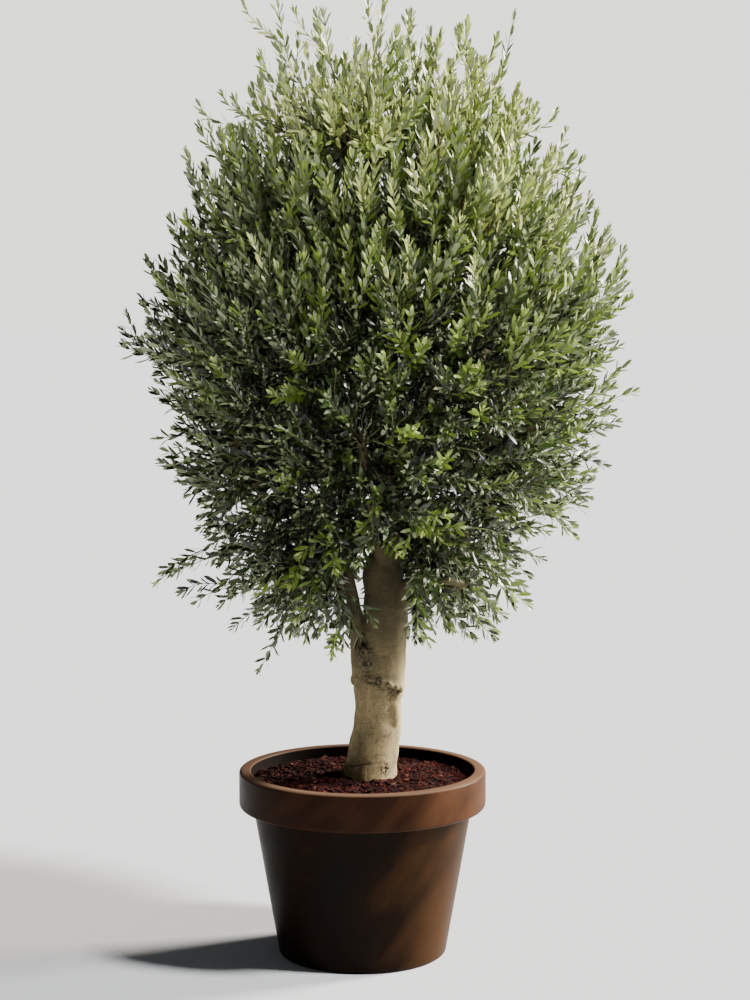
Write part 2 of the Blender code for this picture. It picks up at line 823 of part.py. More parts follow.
def bough_to(mass, parent, share):
    """A bough from its parent limb to the place where it enters the mass."""
    start, along = along_path(parent.path, share)
    tip = entry_to(mass, start)
    span = (tip - start).length
    leave = ((tip - start).normalized() + BOUGH_LEAVE * along).normalized()
    arrive = ((tip - start).normalized() + BOUGH_ARRIVE * mass.outwards).normalized()
    pull = BOUGH_PULL * span
    path = hermite(start, leave * pull, tip, arrive * pull, LIMB_STEPS)
    radius = min(BOUGH_RADIUS, ROOT_TO_PARENT * parent_radius(parent, share))
    radii = limb_radii(radius, BOUGH_TIP_RADIUS, LIMB_STEPS)
    return Limb("bough_" + mass.name, path, radii, parent.name)


def parent_radius(parent, share):
    """The parent limb's radius at this share of its points."""
    at = share * (len(parent.radii) - 1)
    low = min(int(at), len(parent.radii) - 2)
    return parent.radii[low] + (parent.radii[low + 1] - parent.radii[low]) * (at - low)


class Stem:
    """A mass's stem: it carries on from the tip of its limb, a gap clear of it."""

    def __init__(self, mass, carrier):
        along = (carrier.path[-1] - carrier.path[-2]).normalized()
        start = carrier.path[-1] + along * GAP
        bend = start + along * STEM_STRAIGHT
        heading = (mass.middle + mass.outwards * STEM_PAST_MIDDLE - bend).normalized()
        end = bend + (along + STEM_TURN * heading).normalized() * (STEM_LENGTH - STEM_STRAIGHT)
        wide = carrier.radii[-1] * STEM_SLIMMER
        self.path = [start, bend, end]
        self.rings = tube_rings(self.path, (wide, wide, STEM_TIP_RADIUS), STEM_SIDES)
        self.tree = tube_tree(self.rings)


def build_mass(mass, masses, limbs, carrier, mat, rng):
    stem = Stem(mass, carrier)
    near = [limb for limb in limbs.values() if limb.gap_to(mass.middle) < LIMBS_WITHIN]
    space = Space(mass, masses, near)
    twigs, leaves = grow(mass, space, stem, rng)
    obj = loft(mass.name, stem.rings, mat)
    pieces = []
    for i, twig in enumerate(twigs):
        pieces.append(twig.build(f"twig_{i}", mat))
    for i, leaf in enumerate(leaves):
        pieces.append(leaf.build(f"leaf_{i}", mat))
    fuse(obj, pieces)
    return obj


def main():
    clear_scene()
    mats = {
        "pot": material("moulded brown pot", (0.165, 0.062, 0.028), 0.45),
        "mulch": material("bark mulch", (0.060, 0.018, 0.014), 0.95),
        "bark": material("olive bark", (0.300, 0.270, 0.180), 0.85),
        "leaf": material("olive leaf", (0.130, 0.165, 0.070), 0.50),
    }
    make_pot(mats["pot"])
    make_mulch(mats["mulch"])
    make_trunk("trunk", mats["bark"])
    masses = [Mass(name, level, azimuth) for name, level, azimuth, _, _ in MASSES]
    limbs = main_limbs(masses)
    for shoot in LONG_SHOOTS:
        tip = Vector(shoot)
        min(masses, key=lambda m: (m.middle - tip).length).shoots.append(tip)
    carriers = {}
    for mass, (_, _, _, carrier, share) in zip(masses, MASSES):
        if share == 1.0:
            carriers[mass.name] = limbs[carrier]
            continue
        bough = bough_to(mass, limbs[carrier], share)
        carriers[mass.name] = limbs[bough.name] = bough
    for limb in limbs.values():
        if limb.name == "trunk":
            continue
        obj = limb.build(mats["bark"])
        if limb.parent == "trunk":
            cut(obj, make_trunk("trunk_cutter", mats["bark"], GAP))
        elif limb.parent:
            cut(obj, limbs[limb.parent].build(mats["bark"], GAP, "_cutter"))
    rng = random.Random(SEED)
    for mass in masses:
        build_mass(mass, masses, limbs, carriers[mass.name], mats["leaf"], rng)


main()
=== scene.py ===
"""Potted olive tree, dressed for its portrait: bark, leaves, bark mulch and a moulded pot.

Metres, +Z up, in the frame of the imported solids. The boughs and the masses of foliage follow the
same rule as the solids do, carried on to shoots, twigs and leaves near their real size. Every
finished piece lies at the origin with its place in its mesh.
"""

import json
import math
import random

import bmesh
import bpy
import numpy as np
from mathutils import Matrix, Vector, kdtree, noise

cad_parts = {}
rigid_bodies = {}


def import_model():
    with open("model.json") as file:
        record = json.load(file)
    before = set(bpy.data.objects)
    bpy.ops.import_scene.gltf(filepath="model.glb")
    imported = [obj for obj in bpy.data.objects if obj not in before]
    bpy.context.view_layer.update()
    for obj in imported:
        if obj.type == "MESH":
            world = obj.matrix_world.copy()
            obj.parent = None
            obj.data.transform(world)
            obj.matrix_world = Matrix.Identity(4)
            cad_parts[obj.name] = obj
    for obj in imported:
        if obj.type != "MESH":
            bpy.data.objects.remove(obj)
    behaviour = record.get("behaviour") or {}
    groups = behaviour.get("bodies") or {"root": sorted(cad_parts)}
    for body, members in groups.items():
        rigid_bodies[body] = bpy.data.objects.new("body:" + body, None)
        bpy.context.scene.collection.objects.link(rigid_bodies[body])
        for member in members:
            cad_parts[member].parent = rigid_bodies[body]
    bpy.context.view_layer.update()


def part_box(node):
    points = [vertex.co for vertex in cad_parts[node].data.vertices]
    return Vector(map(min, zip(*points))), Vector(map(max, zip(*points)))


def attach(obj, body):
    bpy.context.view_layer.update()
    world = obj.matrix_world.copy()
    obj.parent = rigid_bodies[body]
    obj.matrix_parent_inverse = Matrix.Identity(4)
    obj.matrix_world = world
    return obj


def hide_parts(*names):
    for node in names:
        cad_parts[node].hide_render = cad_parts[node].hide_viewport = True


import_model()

UP = Vector((0, 0, 1))
NEAR_UPRIGHT = 0.95  # a direction that rises more than this has no sure level side
GOLDEN_ANGLE = math.pi * (3 - math.sqrt(5))
SEED = 11
MM = 0.001

# --- pot: its width and height are the solid's ---
BAND_RADIUS, _, POT_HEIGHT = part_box("pot")[1]
FOOT_RADIUS = 0.222
FOOT_ROUND = 0.012
FOOT_RING = (0.035, 0.030)  # width of the ring it stands on, at its top and on the ground
FOOT_HOLLOW = 0.004
POT_FLOOR = 0.016
WALL = 0.009
BODY_TOP_RADIUS = 0.290
BAND_HEIGHT = 0.098
BAND_BOTTOM = POT_HEIGHT - BAND_HEIGHT
BAND_FILLET = ((-0.004, -0.012), (-0.002, -0.004), (0.004, 0.0))  # the body turns out into the band
BAND_STEP = 0.02  # and its inner wall does so this far down
RIM_WIDTH = 0.031
RIM_ROUND = 0.008
RIM_DEPTH = 0.078
POT_SIDES = 192
PAINTED_SHADE_FROM, FACING_IN = 0.02, 0.5  # the inside's skin, painted dark as shade: from this height, on faces turned in by this
POT_SKINS = (
    # material, its dark, usual and light colour, and how much painted light makes its right side paler
    ("brown moulded polyethylene", "#0c0501", "#140801", "#3c2610", 0.32),
    ("bleached brown polyethylene", "#1b0e06", "#251308", "#4b301d", 0.32),
    ("brown polyethylene painted shaded", "#0f0906", "#140c08", "#1b110b", 0.0),
)

# --- mulch ---
MULCH_EDGE = 0.458
MULCH_TOP = 0.4715
MULCH_RADIUS = 0.2925
MULCH_UNEVEN = (0.006, 0.055)  # how high its heaps are, and how wide
SOIL_DEPTH = 0.05
SOIL_FOOT = 0.96  # of its radius
SOIL_RINGS, SOIL_SIDES = 26, 96
CHIP_SHAPES = 4
CHIP_SPACING = 0.0075
CHIP_DENSITY = 30000.0  # tried for a square metre, before the spacing thins them out
FLAT_ENOUGH = 0.75  # rise of the surface's normal from which chips lie on it
CHIP_LENGTHS = (0.009, 0.024)
CHIP_SLANT = 0.42  # at most, either way, in radians
CHIP_BARKS = (
    # share of the chips before it, kind, its dark and light colour
    (0.00, "red-brown pine bark", "#220a07", "#431712"),
    (0.50, "dark pine bark", "#150807", "#2b1210"),
    (0.90, "fresh pine bark", "#381610", "#5f2d22"),
    (0.98, "grey pine bark", "#35221d", "#664a3e"),
)

# --- trunk: height, how far its axis stands to the right, radius ---
TRUNK_RINGS = (
    (0.4718, 0.020, 0.0705),
    (0.488, 0.020, 0.0690),
    (0.508, 0.022, 0.0655),
    (0.545, 0.029, 0.0645),
    (0.595, 0.036, 0.0640),
    (0.650, 0.039, 0.0610),
    (0.682, 0.039, 0.0620),
    (0.700, 0.040, 0.0675),
    (0.716, 0.042, 0.0650),
    (0.760, 0.048, 0.0630),
    (0.810, 0.054, 0.0600),
    (0.870, 0.061, 0.0590),
    (0.930, 0.061, 0.0575),
    (0.985, 0.058, 0.0510),
    (1.030, 0.060, 0.0400),
    (1.100, 0.071, 0.0310),
)
TRUNK_SIDES = 72
TRUNK_LOBES = 3
TRUNK_LOBE_DEPTH = 0.045
TRUNK_SUNK = 0.010  # the foot runs this far down among the chips
TRUNK_STEP = 0.005
LUMPS = (
    # middle, size, stretch: buds, knots and swellings of the wood
    ((0.070, -0.060, 0.720), 0.0088, (1.1, 1.0, 1.0)),
    ((0.085, -0.052, 0.713), 0.0092, (1.0, 1.0, 1.0)),
    ((0.098, -0.040, 0.707), 0.0090, (1.0, 1.0, 1.0)),
    ((0.060, -0.046, 0.724), 0.013, (1.4, 1.0, 0.8)),
    ((-0.023, -0.022, 0.732), 0.011, (0.9, 1.0, 1.6)),
    ((0.122, -0.014, 0.968), 0.026, (1.1, 0.9, 1.2)),
    ((0.042, -0.010, 0.995), 0.042, (1.0, 0.9, 2.0)),
    ((0.064, -0.004, 1.090), 0.041, (1.0, 1.0, 2.6)),
    ((0.010, -0.046, 0.785), 0.020, (1.0, 0.8, 2.2)),
    ((0.076, -0.030, 0.640), 0.024, (0.9, 0.8, 1.8)),
    ((0.000, -0.026, 0.610), 0.026, (0.9, 0.8, 1.8)),
    ((0.062, -0.040, 0.840), 0.022, (1.0, 0.8, 1.8)),
)
RING_CRACKS = (
    # height, dip across the trunk, way round that it is deepest, reach round the trunk: cracks of the foot
    (0.508, 0.010, math.radians(235), 0.9),
)
RING_CRACK_DEPTH = 0.0018
RING_CRACK_WIDTH = 0.0022
RING_CRACKS_TOP = 0.7
RING_CRACK_WOBBLE = (0.004, 0.018)
SCAR = ((-0.014, -0.05, 0.747), (0.106, -0.05, 0.705))  # a slanting old wound across the front
SCAR_LIP = 0.0032
SCAR_DEPTH = 0.0034
SCAR_PAST = 0.08  # it runs this far past its two points, as a share of its length
SCAR_FADE = 6
SCAR_WOBBLE = (0.0035, 0.02)  # its line's height, and over what distance
SCAR_BANDS = ((0.007, 0.007), (-0.004, 0.0045))  # height over its line and width, of its lip and groove
CRUSTS = (
    # middle and size of patches of dark, rough, flaking bark
    ((0.004, -0.050, 0.815), 0.036),
    ((0.008, -0.055, 0.780), 0.038),
    ((0.014, -0.058, 0.748), 0.030),
    ((0.040, -0.062, 0.735), 0.020),
    ((0.082, -0.052, 0.698), 0.026),
    ((0.062, -0.050, 0.500), 0.026),
    ((0.130, -0.020, 0.975), 0.030),
)
BARK_VOXEL = 0.0029
RIDGES = 0.0005
SWELLS = 0.0036
FINE = 0.0005
CRACKS = 0.0006
CRACK_WIDTH = 0.045
CRUST_HEIGHT = 0.0042
CRUST_GRAIN = ((0.009, 2.2), (0.004, 0.8))  # size and share of its lumps and crumbs
RIDGE_GRAIN = (0.020, 0.07)  # its size across a limb and along it
FINE_GRAIN = (0.004, 0.016)
CRACK_GRAIN = (0.017, 0.085)
SWELL_SIZE = 0.045
RELIEF_RADIUS = 0.035  # a thinner limb has a shallower relief
# dirt in cracks and ring cracks; in the scar and in crusts it lies in spots, of this size
CRACK_DIRT, RING_DIRT = 0.35, 0.9
SCAR_DIRT, SCAR_SPOTS, SCAR_SPOT_SIZE = 0.60, 0.6, 0.012
CRUST_DIRT, CRUST_SPOTS, CRUST_SPOT_SIZE = 1.5, 0.45, 0.0065
VALLEY_DIRT, VALLEY_DEPTH = 0.20, 0.25

# --- limbs, as in the solids ---
COLLAR = 0.30
COLLAR_RUN = 0.33
ROOT_TO_PARENT = 0.8
MAIN_ARRIVE_LIFT = 0.6
BOUGH_RADIUS = 0.0125
BOUGH_TIP_RADIUS = 0.0080
BOUGH_LEAVE = 0.5
BOUGH_ARRIVE = 0.35
BOUGH_PULL = 0.9
LIMB_STEPS = 24
LIMB_SIDES = 20
MAIN_LIMBS = (
    # name, start, way it leaves and how firmly, mass at its tip, radius, tip radius
    ("leader", (0.071, 0.0, 1.090), (0.05, 0.01, 1.0), 1.0, "top_front_left", 0.0305, 0.0110),
    ("side_stem", (-0.008, -0.016, 0.735), (-0.02, -0.01, 1.0), 2.8, "lower_left", 0.0160, 0.0110),
    ("bough_right", (0.060, -0.006, 0.925), (1.0, -0.05, 0.60), 1.0, "lower_right", 0.0290, 0.0130),
    ("bough_back", (0.058, 0.004, 0.985), (0.15, 1.0, 0.80), 1.0, "lower_back_right", 0.0230, 0.0120),
    ("bough_front", (0.060, -0.002, 1.030), (-0.20, -1.0, 1.10), 1.0, "lower_front", 0.0210, 0.0115),
)

# --- the tree's outline and its masses of foliage, as in the solids ---
AXIS_X = 0.030
OUTLINE = (
    # height, reach to the left, reach to the right
    (0.80, 0.24, 0.26),
    (0.90, 0.36, 0.38),
    (1.05, 0.43, 0.42),
    (1.25, 0.49, 0.56),
    (1.45, 0.56, 0.60),
    (1.62, 0.62, 0.64),
    (1.80, 0.55, 0.62),
    (2.00, 0.48, 0.54),
    (2.18, 0.42, 0.45),
    (2.32, 0.33, 0.38),
    (2.42, 0.25, 0.30),
    (2.47, 0.12, 0.14),
)
UNDERSIDE = 0.80
UNDERSIDE_CLEAR_RADIUS = 0.20
UNDERSIDE_SLOPE = 1.5
LEVELS = {
    # level: height of its masses, their distance from the axis as a share of the reach
    "low": (1.05, 0.64),
    "lower": (1.37, 0.66),
    "middle": (1.69, 0.62),
    "upper": (2.00, 0.56),
    "top": (2.23, 0.44),
}
MASSES = (
    # name, azimuth (0 is right, 90 is back), limb it comes from, how far along that limb
    ("low_back_right", 45, "bough_right", 0.30),
    ("low_back_left", 140, "side_stem", 0.48),
    ("low_front_left", 225, "side_stem", 0.40),
    ("low_front_right", 318, "bough_right", 0.22),
    ("lower_front", 266, "bough_front", 1.0),
    ("lower_right", 342, "bough_right", 1.0),
    ("lower_back_right", 58, "bough_back", 1.0),
    ("lower_back_left", 128, "bough_back", 0.45),
    ("lower_left", 194, "side_stem", 1.0),
    ("middle_front_right", 306, "leader", 0.13),
    ("middle_right", 18, "leader", 0.19),
    ("middle_back", 90, "leader", 0.26),
    ("middle_left", 162, "leader", 0.22),
    ("middle_front_left", 234, "leader", 0.17),
    ("upper_front_right", 318, "leader", 0.44),
    ("upper_back_right", 48, "leader", 0.56),
    ("upper_back_left", 135, "leader", 0.47),
    ("upper_front_left", 225, "leader", 0.60),
    ("top_right", 0, "leader", 0.89),
    ("top_back_left", 122, "leader", 0.75),
    ("top_front_left", 242, "leader", 1.0),
)
# Shoots that stand out of the foliage, by the place of their tip.
LONG_SHOOTS = (
    (-0.299, -0.05, 2.472),
    (0.015, -0.06, 2.472),
    (0.345, 0.04, 2.395),
    (0.180, 0.22, 2.430),
    (-0.420, 0.03, 2.223),
    (0.607, 0.05, 1.946),
    (-0.547, -0.06, 1.818),
    (0.690, -0.02, 1.733),
    (-0.622, 0.02, 1.604),
    (0.705, -0.04, 1.488),
    (0.634, 0.00, 1.292),
    (-0.469, -0.10, 1.258),
    (-0.542, 0.03, 0.977),
    (0.426, -0.10, 0.938),
    (-0.264, -0.16, 0.779),
    (-0.080, -0.620, 1.640),
    (0.200, -0.560, 1.360),
    (0.110, 0.650, 1.690),
    (-0.220, 0.580, 1.470),
)
FINER_SHOOTS = (
    # beside the long ones: two hang before the trunk, the others fill out the lowest sprays
    (0.026, -0.150, 1.150),
    (0.030, -0.140, 0.900),
    (-0.500, 0.050, 0.995),
    (-0.470, -0.020, 0.960),
    (-0.485, -0.080, 1.020),
    (-0.440, 0.000, 0.930),
    (-0.520, 0.000, 1.010),
    (0.560, 0.020, 1.100),
    (0.530, -0.060, 1.130),
    (0.585, -0.020, 1.210),
)
TURN_UP_FROM = 1.25
TURN_UP = 1.1
ENTRY = 0.10
ENTRY_BELOW = 0.45
STEM_LENGTH = 0.15
STEM_STEPS = 7
STEM_SUNK = 0.01
STEM_STRAIGHT = 0.02
STEM_PAST_MIDDLE = 0.06
STEM_TURN = 1.5
FAN = math.radians(125)

# --- where shoots stand ---
TRIES = 100000
TIP_BOX = ((-0.70, 0.75), (-0.68, 0.68), (0.80, 2.47))  # the foliage's span in x, y and z
# distance between the tips of shoots by their depth in the foliage, and its factor by height
SHOOT_SPACING = ((0.0, 0.045), (0.06, 0.043), (0.20, 0.050), (0.40, 0.066))
OPENER = ((0.8, 1.18), (1.3, 1.06), (1.6, 0.98), (2.0, 0.97), (2.2, 1.03), (2.45, 1.32))
LOBE_DEPTH = 0.190  # how far the outline swings in and out between sprays
LOBE_SIZE = 0.095
LOBE_SINK = 0.10
SWING_OUT = 0.036  # no spray swells further out than this
CREASE_DEPTH = 0.012  # it dips where two masses meet
CREASE_WIDTH = 0.05
SLOPE_STEP, STEEPEST = 0.02, 6  # its slope is measured over this step, and taken as no steeper
LEAF_MARGIN = 0.010  # leaves stand this far out past a shoot's tip
STANDING_OUT = 0.042  # a few shoots outgrow their neighbours by about this much
STANDING_MEAN = 0.2
TOP_FROM, TOP_RUN = 1.98, 0.36  # over this height the foliage thins into single upright shoots
TOP_DROP = 0.088  # by which its body stays under the tips of those shoots
TOP_STANDING_OUT = 1.3
HIGHEST_TIP = 2.476
EDGE_ROOM = 0.045  # no shoot outgrows the edge by more than this
EDGE_TOP = 2.40  # and over this height the edge runs straight up
NEAREST_TIP = -0.625
RIGHT_UNDERSIDE = (0.14, 0.862)  # to the right of this, the lowest shoots end at this height
TRUNK_FRONT = (0.045, 0.088, 1.10, 0.02)  # gap that shows the trunk: its middle, half-width, top and back
LIFT = ((0.80, -1.5), (1.00, -0.7), (1.20, -0.1), (1.45, 0.4), (1.70, 1.1), (1.95, 2.8), (2.20, 7.0))
SPREAD_FROM = 0.30  # nearer to the axis than this, shoots spread less
SHOOT_STRAY = 0.24

# --- twigs ---
BRANCHES = 9  # that a mass's stem splits into
BRANCH_RUN = 0.55  # how far they reach, as a share of the room
BRANCH_POINTS = 4  # they leave from the stem's last points
BRANCH_ARRIVE = 0.3
SHORTEST_BRANCH = 0.06
MOST_ROOM, ROOM_STEP = 0.5, 0.02
NODE_STEP = 0.028  # between two points along a twig
SHORTEST_SHOOT = 0.07
USUAL_SHOOT = 0.15
BEND_COST = 0.4  # a shoot grows where its length and these come to least: a bend at its root,
STRAIGHTNESS = 1.6  # a start that isn't straight behind its tip,
SHORT_COST = 3  # being shorter than usual,
SHORTEST_COST = 0.5  # or shorter than any
SHOOT_LEAVE = (0.9, 0.5)  # how much it leaves along its root, and how firmly
SHOOT_ARRIVE = 1.1
SHOOT_OPEN = 0.6  # others may grow from this much of it
TWIG_RADIUS = 0.0011
TWIG_GROWTH = 0.44  # a twig thickens with the number of shoots it feeds, to this power
TWIG_SIDES = 4
GREEN_UNDER = 0.0014  # a twig of a smaller radius is green
BOUGH_SIDES = 14

# --- leaves ---
LEAFY_LENGTHS = (0.15, 0.25)
LEAFY_SHARE = 0.92  # of a shorter shoot
LONG_LEAFY_SHARE = 0.85
FIRST_PAIR = 0.003  # from the shoot's tip
FIRST_INTERNODE = 0.009
LAST_INTERNODE = 0.021
INTERNODE_GROWTH = 1.35
INTERNODE_STRAY = (0.9, 1.15)
PAIR_STRAY = 0.25
LEAF_LENGTHS = (0.035, 0.047)
LENGTH_STRAY = (0.85, 1.12)
LEAF_SLIMNESS = (0.22, 0.29)  # width to length
SLIMNESS_STRAY = (0.9, 1.1)
LEAF_START_SIZES = (0.45, 0.68, 0.88)  # of the youngest pairs, then full size
LEAF_ANGLES = (14, 25, 34, 42)  # of the youngest pairs to the shoot, in degrees
ANGLE_STRAY = 9
LEAF_CLOSING = 0.35  # by how much leaves close in on an upright shoot
LIGHT_SEEKING = (0.36, 0.46)  # how strongly a leaf turns its upper side up, and outwards
FACE_STRAY = 0.3
YOUNGER_PAIRS = 2  # at the tip of a shoot are a tint younger
LEAF_OUTLINE = ((0.30, 0.43), (0.72, 0.47))  # share of the length, half-width
LEAF_RIDGE = (0.50, 0.030)  # where the midrib stands highest, and how high
LEAF_SHAPES = (
    # arch over the leaf's length, twist at its tip, sideways bend
    (0.05, 0.10, 0.02),
    (-0.07, -0.20, -0.04),
    (0.11, 0.25, 0.05),
    (0.01, -0.10, -0.02),
)
LEAF_ATTRIBUTES = {
    "along": "FLOAT_VECTOR",
    "face": "FLOAT_VECTOR",
    "size": "FLOAT_VECTOR",
    "tint": "FLOAT",
    "under": "BOOLEAN",
}
WORKING_ATTRIBUTES = (*LEAF_ATTRIBUTES, "thickness")
TINTS = (
    # least youth_and_light of a spray (its age, with painted light and shade) from which it has this tint,
    # material and colour of its upper side
    (0.55, "young olive leaf painted sunlit", "#cad680"),
    (0.22, "fresh olive leaf", "#6f8732"),
    (-0.15, "grown olive leaf", "#2f4117"),
    (-math.inf, "old olive leaf painted shaded", "#10180a"),
)
YOUTH = -0.06  # of a spray at the surface, low in the tree
YOUTH_AND_LIGHT_BY_HEIGHT = (1.6, 0.7, 0.90)  # it grows from this height, over this run, by this much: partly young growth, partly painted light at the top
YOUTH_AND_SHADE_BY_DEPTH = -3.0  # and falls by so much a metre inwards: partly older leaves, partly painted shade inside the foliage
YOUTH_STRAY = 0.46
PAINTED_LIGHT_TO_RIGHT = (0.34, 0.7)  # painted light: it grows a metre to the right by this, so the right side's leaves are paler, and less by this share at the top
FRESH_SPRAYS = 0.05  # share of the sprays that are fresh wherever they stand

# --- camera, light and floor ---
CAMERA_PLACE = (0.033, -6.0, 1.804)
CAMERA_TILT = 84.26  # degrees up from straight down
LENS, SENSOR = 83.3, 36.0  # millimetres, up and down the picture
ROOM_LIGHT = 0.10
BACKDROP_LIGHT = 1.92
SUNS = (
    # name, strength, width, turned from +X towards the back, height (all in degrees), colour
    ("key", 12.5, 16, 24, 22, "#fff6ea"),
    ("top", 6.3, 9, -18, 47, "#fffdfa"),
)
FLOOR_RADIUS, FLOOR_SIDES, FLOOR_SUNK = 60.0, 96, 0.0005


# --- small helpers ---


def linear(code):
    """An sRGB hex colour as linear red, green, blue and alpha."""
    values = [int(code[i : i + 2], 16) / 255 for i in (1, 3, 5)]
    return (*[v / 12.92 if v <= 0.04045 else ((v + 0.055) / 1.055) ** 2.4 for v in values], 1.0)


def clamp(value, low=0.0, high=1.0):
    return min(max(value, low), high)


def read_off(table, place):
    """The value at this place in a table of (place, value), evenly between its rows."""
    places, values = zip(*table)
    return float(np.interp(place, places, values))


def feed(node, inputs):
    """Gives each input a constant, another node's output or the first output of another node."""
    for key, value in inputs.items():
        if isinstance(value, bpy.types.Node):
            value = next(socket for socket in value.outputs if socket.enabled)
        if isinstance(value, bpy.types.NodeSocket):
            node.id_data.links.new(value, node.inputs[key])
        else:
            node.inputs[key].default_value = value
    return node


def add_node(tree, kind, inputs=None, stops=(), **settings):
    """A node with its settings and inputs; a colour ramp has stops of (position, hex colour)."""
    node = tree.nodes.new(kind)
    for name, value in settings.items():
        setattr(node, name, value)
    for _ in stops[2:]:
        node.color_ramp.elements.new(0.5)
    for number, (position, colour) in enumerate(stops):
        element = node.color_ramp.elements[number]
        element.position, element.color = position, linear(colour)
    return feed(node, inputs or {})


def new_material(name, colour, roughness, ior=1.45, specular=0.5):
    """(material, its node tree, its shader) with plain values on the shader's own sockets."""
    mat = bpy.data.materials.new(name)
    mat.use_nodes = True
    shader = mat.node_tree.nodes["Principled BSDF"]
    plain = {"Base Color": linear(colour), "Roughness": roughness, "IOR": ior}
    return mat, mat.node_tree, feed(shader, {**plain, "Specular IOR Level": specular})


def add_object(name, data):
    obj = bpy.data.objects.new(name, data)
    bpy.context.scene.collection.objects.link(obj)
    return obj


def add_mesh(name, verts, faces=(), mats=(), edges=(), smooth=True):
    mesh = bpy.data.meshes.new(name)
    mesh.from_pydata([tuple(v) for v in verts], edges, faces)
    mesh.update()
    if smooth:
        mesh.shade_smooth()
    for mat in mats:
        mesh.materials.append(mat)
    return add_object(name, mesh)


def circle(radius, height, sides):
    """Points round the vertical axis, anticlockwise from above."""
    angles = [math.tau * i / sides for i in range(sides)]
    return [(radius * math.cos(a), radius * math.sin(a), height) for a in angles]


def shape_family(name, shapes):
    """A collection of helpers that geometry nodes pick from."""
    family = bpy.data.collections.new(name)
    for shape in shapes:
        family.objects.link(shape)
    return family


def drop_family(family):
    for helper in family.objects[:]:
        mesh = helper.data
        bpy.data.objects.remove(helper)
        bpy.data.meshes.remove(mesh)
    bpy.data.collections.remove(family)


def apply_modifiers(obj):
    """Gives an object the plain mesh that its modifiers make."""
    graph = bpy.context.evaluated_depsgraph_get()
    mesh = bpy.data.meshes.new_from_object(obj.evaluated_get(graph))
    obj.modifiers.clear()
    obj.data = mesh


def new_tree(name, sizes):
    """(tree, its inputs, its last node) of geometry nodes, with these named inputs and their values."""
    tree = bpy.data.node_groups.new(name, "GeometryNodeTree")
    tree.interface.new_socket(name="Geometry", in_out="INPUT", socket_type="NodeSocketGeometry")
    for label, value in sizes.items():
        kind = "NodeSocketInt" if isinstance(value, int) else "NodeSocketFloat"
        tree.interface.new_socket(name=label, in_out="INPUT", socket_type=kind).default_value = value
    tree.interface.new_socket(name="Geometry", in_out="OUTPUT", socket_type="NodeSocketGeometry")
    return tree, add_node(tree, "NodeGroupInput").outputs, add_node(tree, "NodeGroupOutput")


def deal_out(tree, geometry, tint, mats):
    """The last of a row of nodes that set each material from its own tint upwards."""
    for least, mat in mats:
        picked = add_node(tree, "FunctionNodeCompare", {"A": tint, "B": least}, operation="GREATER_EQUAL")
        chosen = {"Geometry": geometry, "Selection": picked, "Material": mat}
        geometry = add_node(tree, "GeometryNodeSetMaterial", chosen)
    return geometry


def grow_by_tree(obj, tree):
    """Turns obj into the plain mesh that a tree of geometry nodes makes of it."""
    modifier = obj.modifiers.new(tree.name, "NODES")
    modifier.node_group = tree
    for item in tree.interface.items_tree:
        if item.in_out == "INPUT" and item.name != "Geometry":
            modifier[item.identifier] = item.default_value
    apply_modifiers(obj)
    for name in [a.name for a in obj.data.attributes if a.name in WORKING_ATTRIBUTES]:
        obj.data.attributes.remove(obj.data.attributes[name])
    return obj


# --- limbs ---


def hermite(start, start_pull, end, end_pull, steps):
    """Points of the smooth curve that leaves start along start_pull and reaches end along end_pull."""
    points = []
    for i in range(steps + 1):
        t = i / steps
        points.append(
            (2 * t**3 - 3 * t**2 + 1) * start
            + (t**3 - 2 * t**2 + t) * start_pull
            + (3 * t**2 - 2 * t**3) * end
            + (t**3 - t**2) * end_pull
        )
    return points


def along_path(path, share):
    """The point at this share of a path's length, and the path's direction there."""
    lengths = [(b - a).length for a, b in zip(path, path[1:])]
    left = share * sum(lengths)
    for i, length in enumerate(lengths):
        if left <= length or i == len(lengths) - 1:
            part = min(left / length, 1.0)
            return path[i].lerp(path[i + 1], part), (path[i + 1] - path[i]).normalized()
        left -= length


def level_side(way, spare):
    """At right angles to a way: level, or set by the spare direction where the way is near upright."""
    return way.cross(UP if abs(way.z) < NEAR_UPRIGHT else spare)


def carried_frames(path):
    """(side, across) at each point of a path, carried along it so that a tube doesn't twist."""
    frames = []
    side = None
    for i in range(len(path)):
        along = (path[min(i + 1, len(path) - 1)] - path[max(i - 1, 0)]).normalized()
        side = side or level_side(along, Vector((0, 1, 0)))
        side = (side - along * side.dot(along)).normalized()
        frames.append((side, along.cross(side)))
    return frames


class Limb:
    """A stem or bough: its path, and its radius at each point of the path."""

    def __init__(self, name, path, radii):
        self.name = name
        self.path = path
        self.radii = radii

    def radius_at(self, share):
        at = share * (len(self.radii) - 1)
        low = min(int(at), len(self.radii) - 2)
        return self.radii[low] + (self.radii[low + 1] - self.radii[low]) * (at - low)


def limb_radii(radius, tip_radius, collar=True):
    """An even taper, swollen into a collar where the limb leaves its parent."""
    radii = []
    for i in range(LIMB_STEPS + 1):
        t = i / LIMB_STEPS
        swell = COLLAR * radius * max(0, 1 - t / COLLAR_RUN) if collar else 0
        radii.append(radius + (tip_radius - radius) * t + swell)
    return radii


def entry_to(mass, start):
    """Where a limb from start enters a mass: short of its middle, and a little below."""
    inwards = (start - mass.middle).normalized()
    return mass.middle + (inwards - ENTRY_BELOW * UP).normalized() * ENTRY


def main_limbs(masses):
    limbs = {}
    by_name = {mass.name: mass for mass in masses}
    for name, start, leaves, firmness, mass_name, radius, tip_radius in MAIN_LIMBS:
        start = Vector(start)
        tip = entry_to(by_name[mass_name], start.lerp(by_name[mass_name].middle, 0.5))
        span = (tip - start).length
        leave = Vector(leaves).normalized() * span * firmness
        arrive = ((tip - start).normalized() + MAIN_ARRIVE_LIFT * UP).normalized()
        path = hermite(start, leave, tip, arrive * span, LIMB_STEPS)
        limbs[name] = Limb(name, path, limb_radii(radius, tip_radius, name != "leader"))
    return limbs


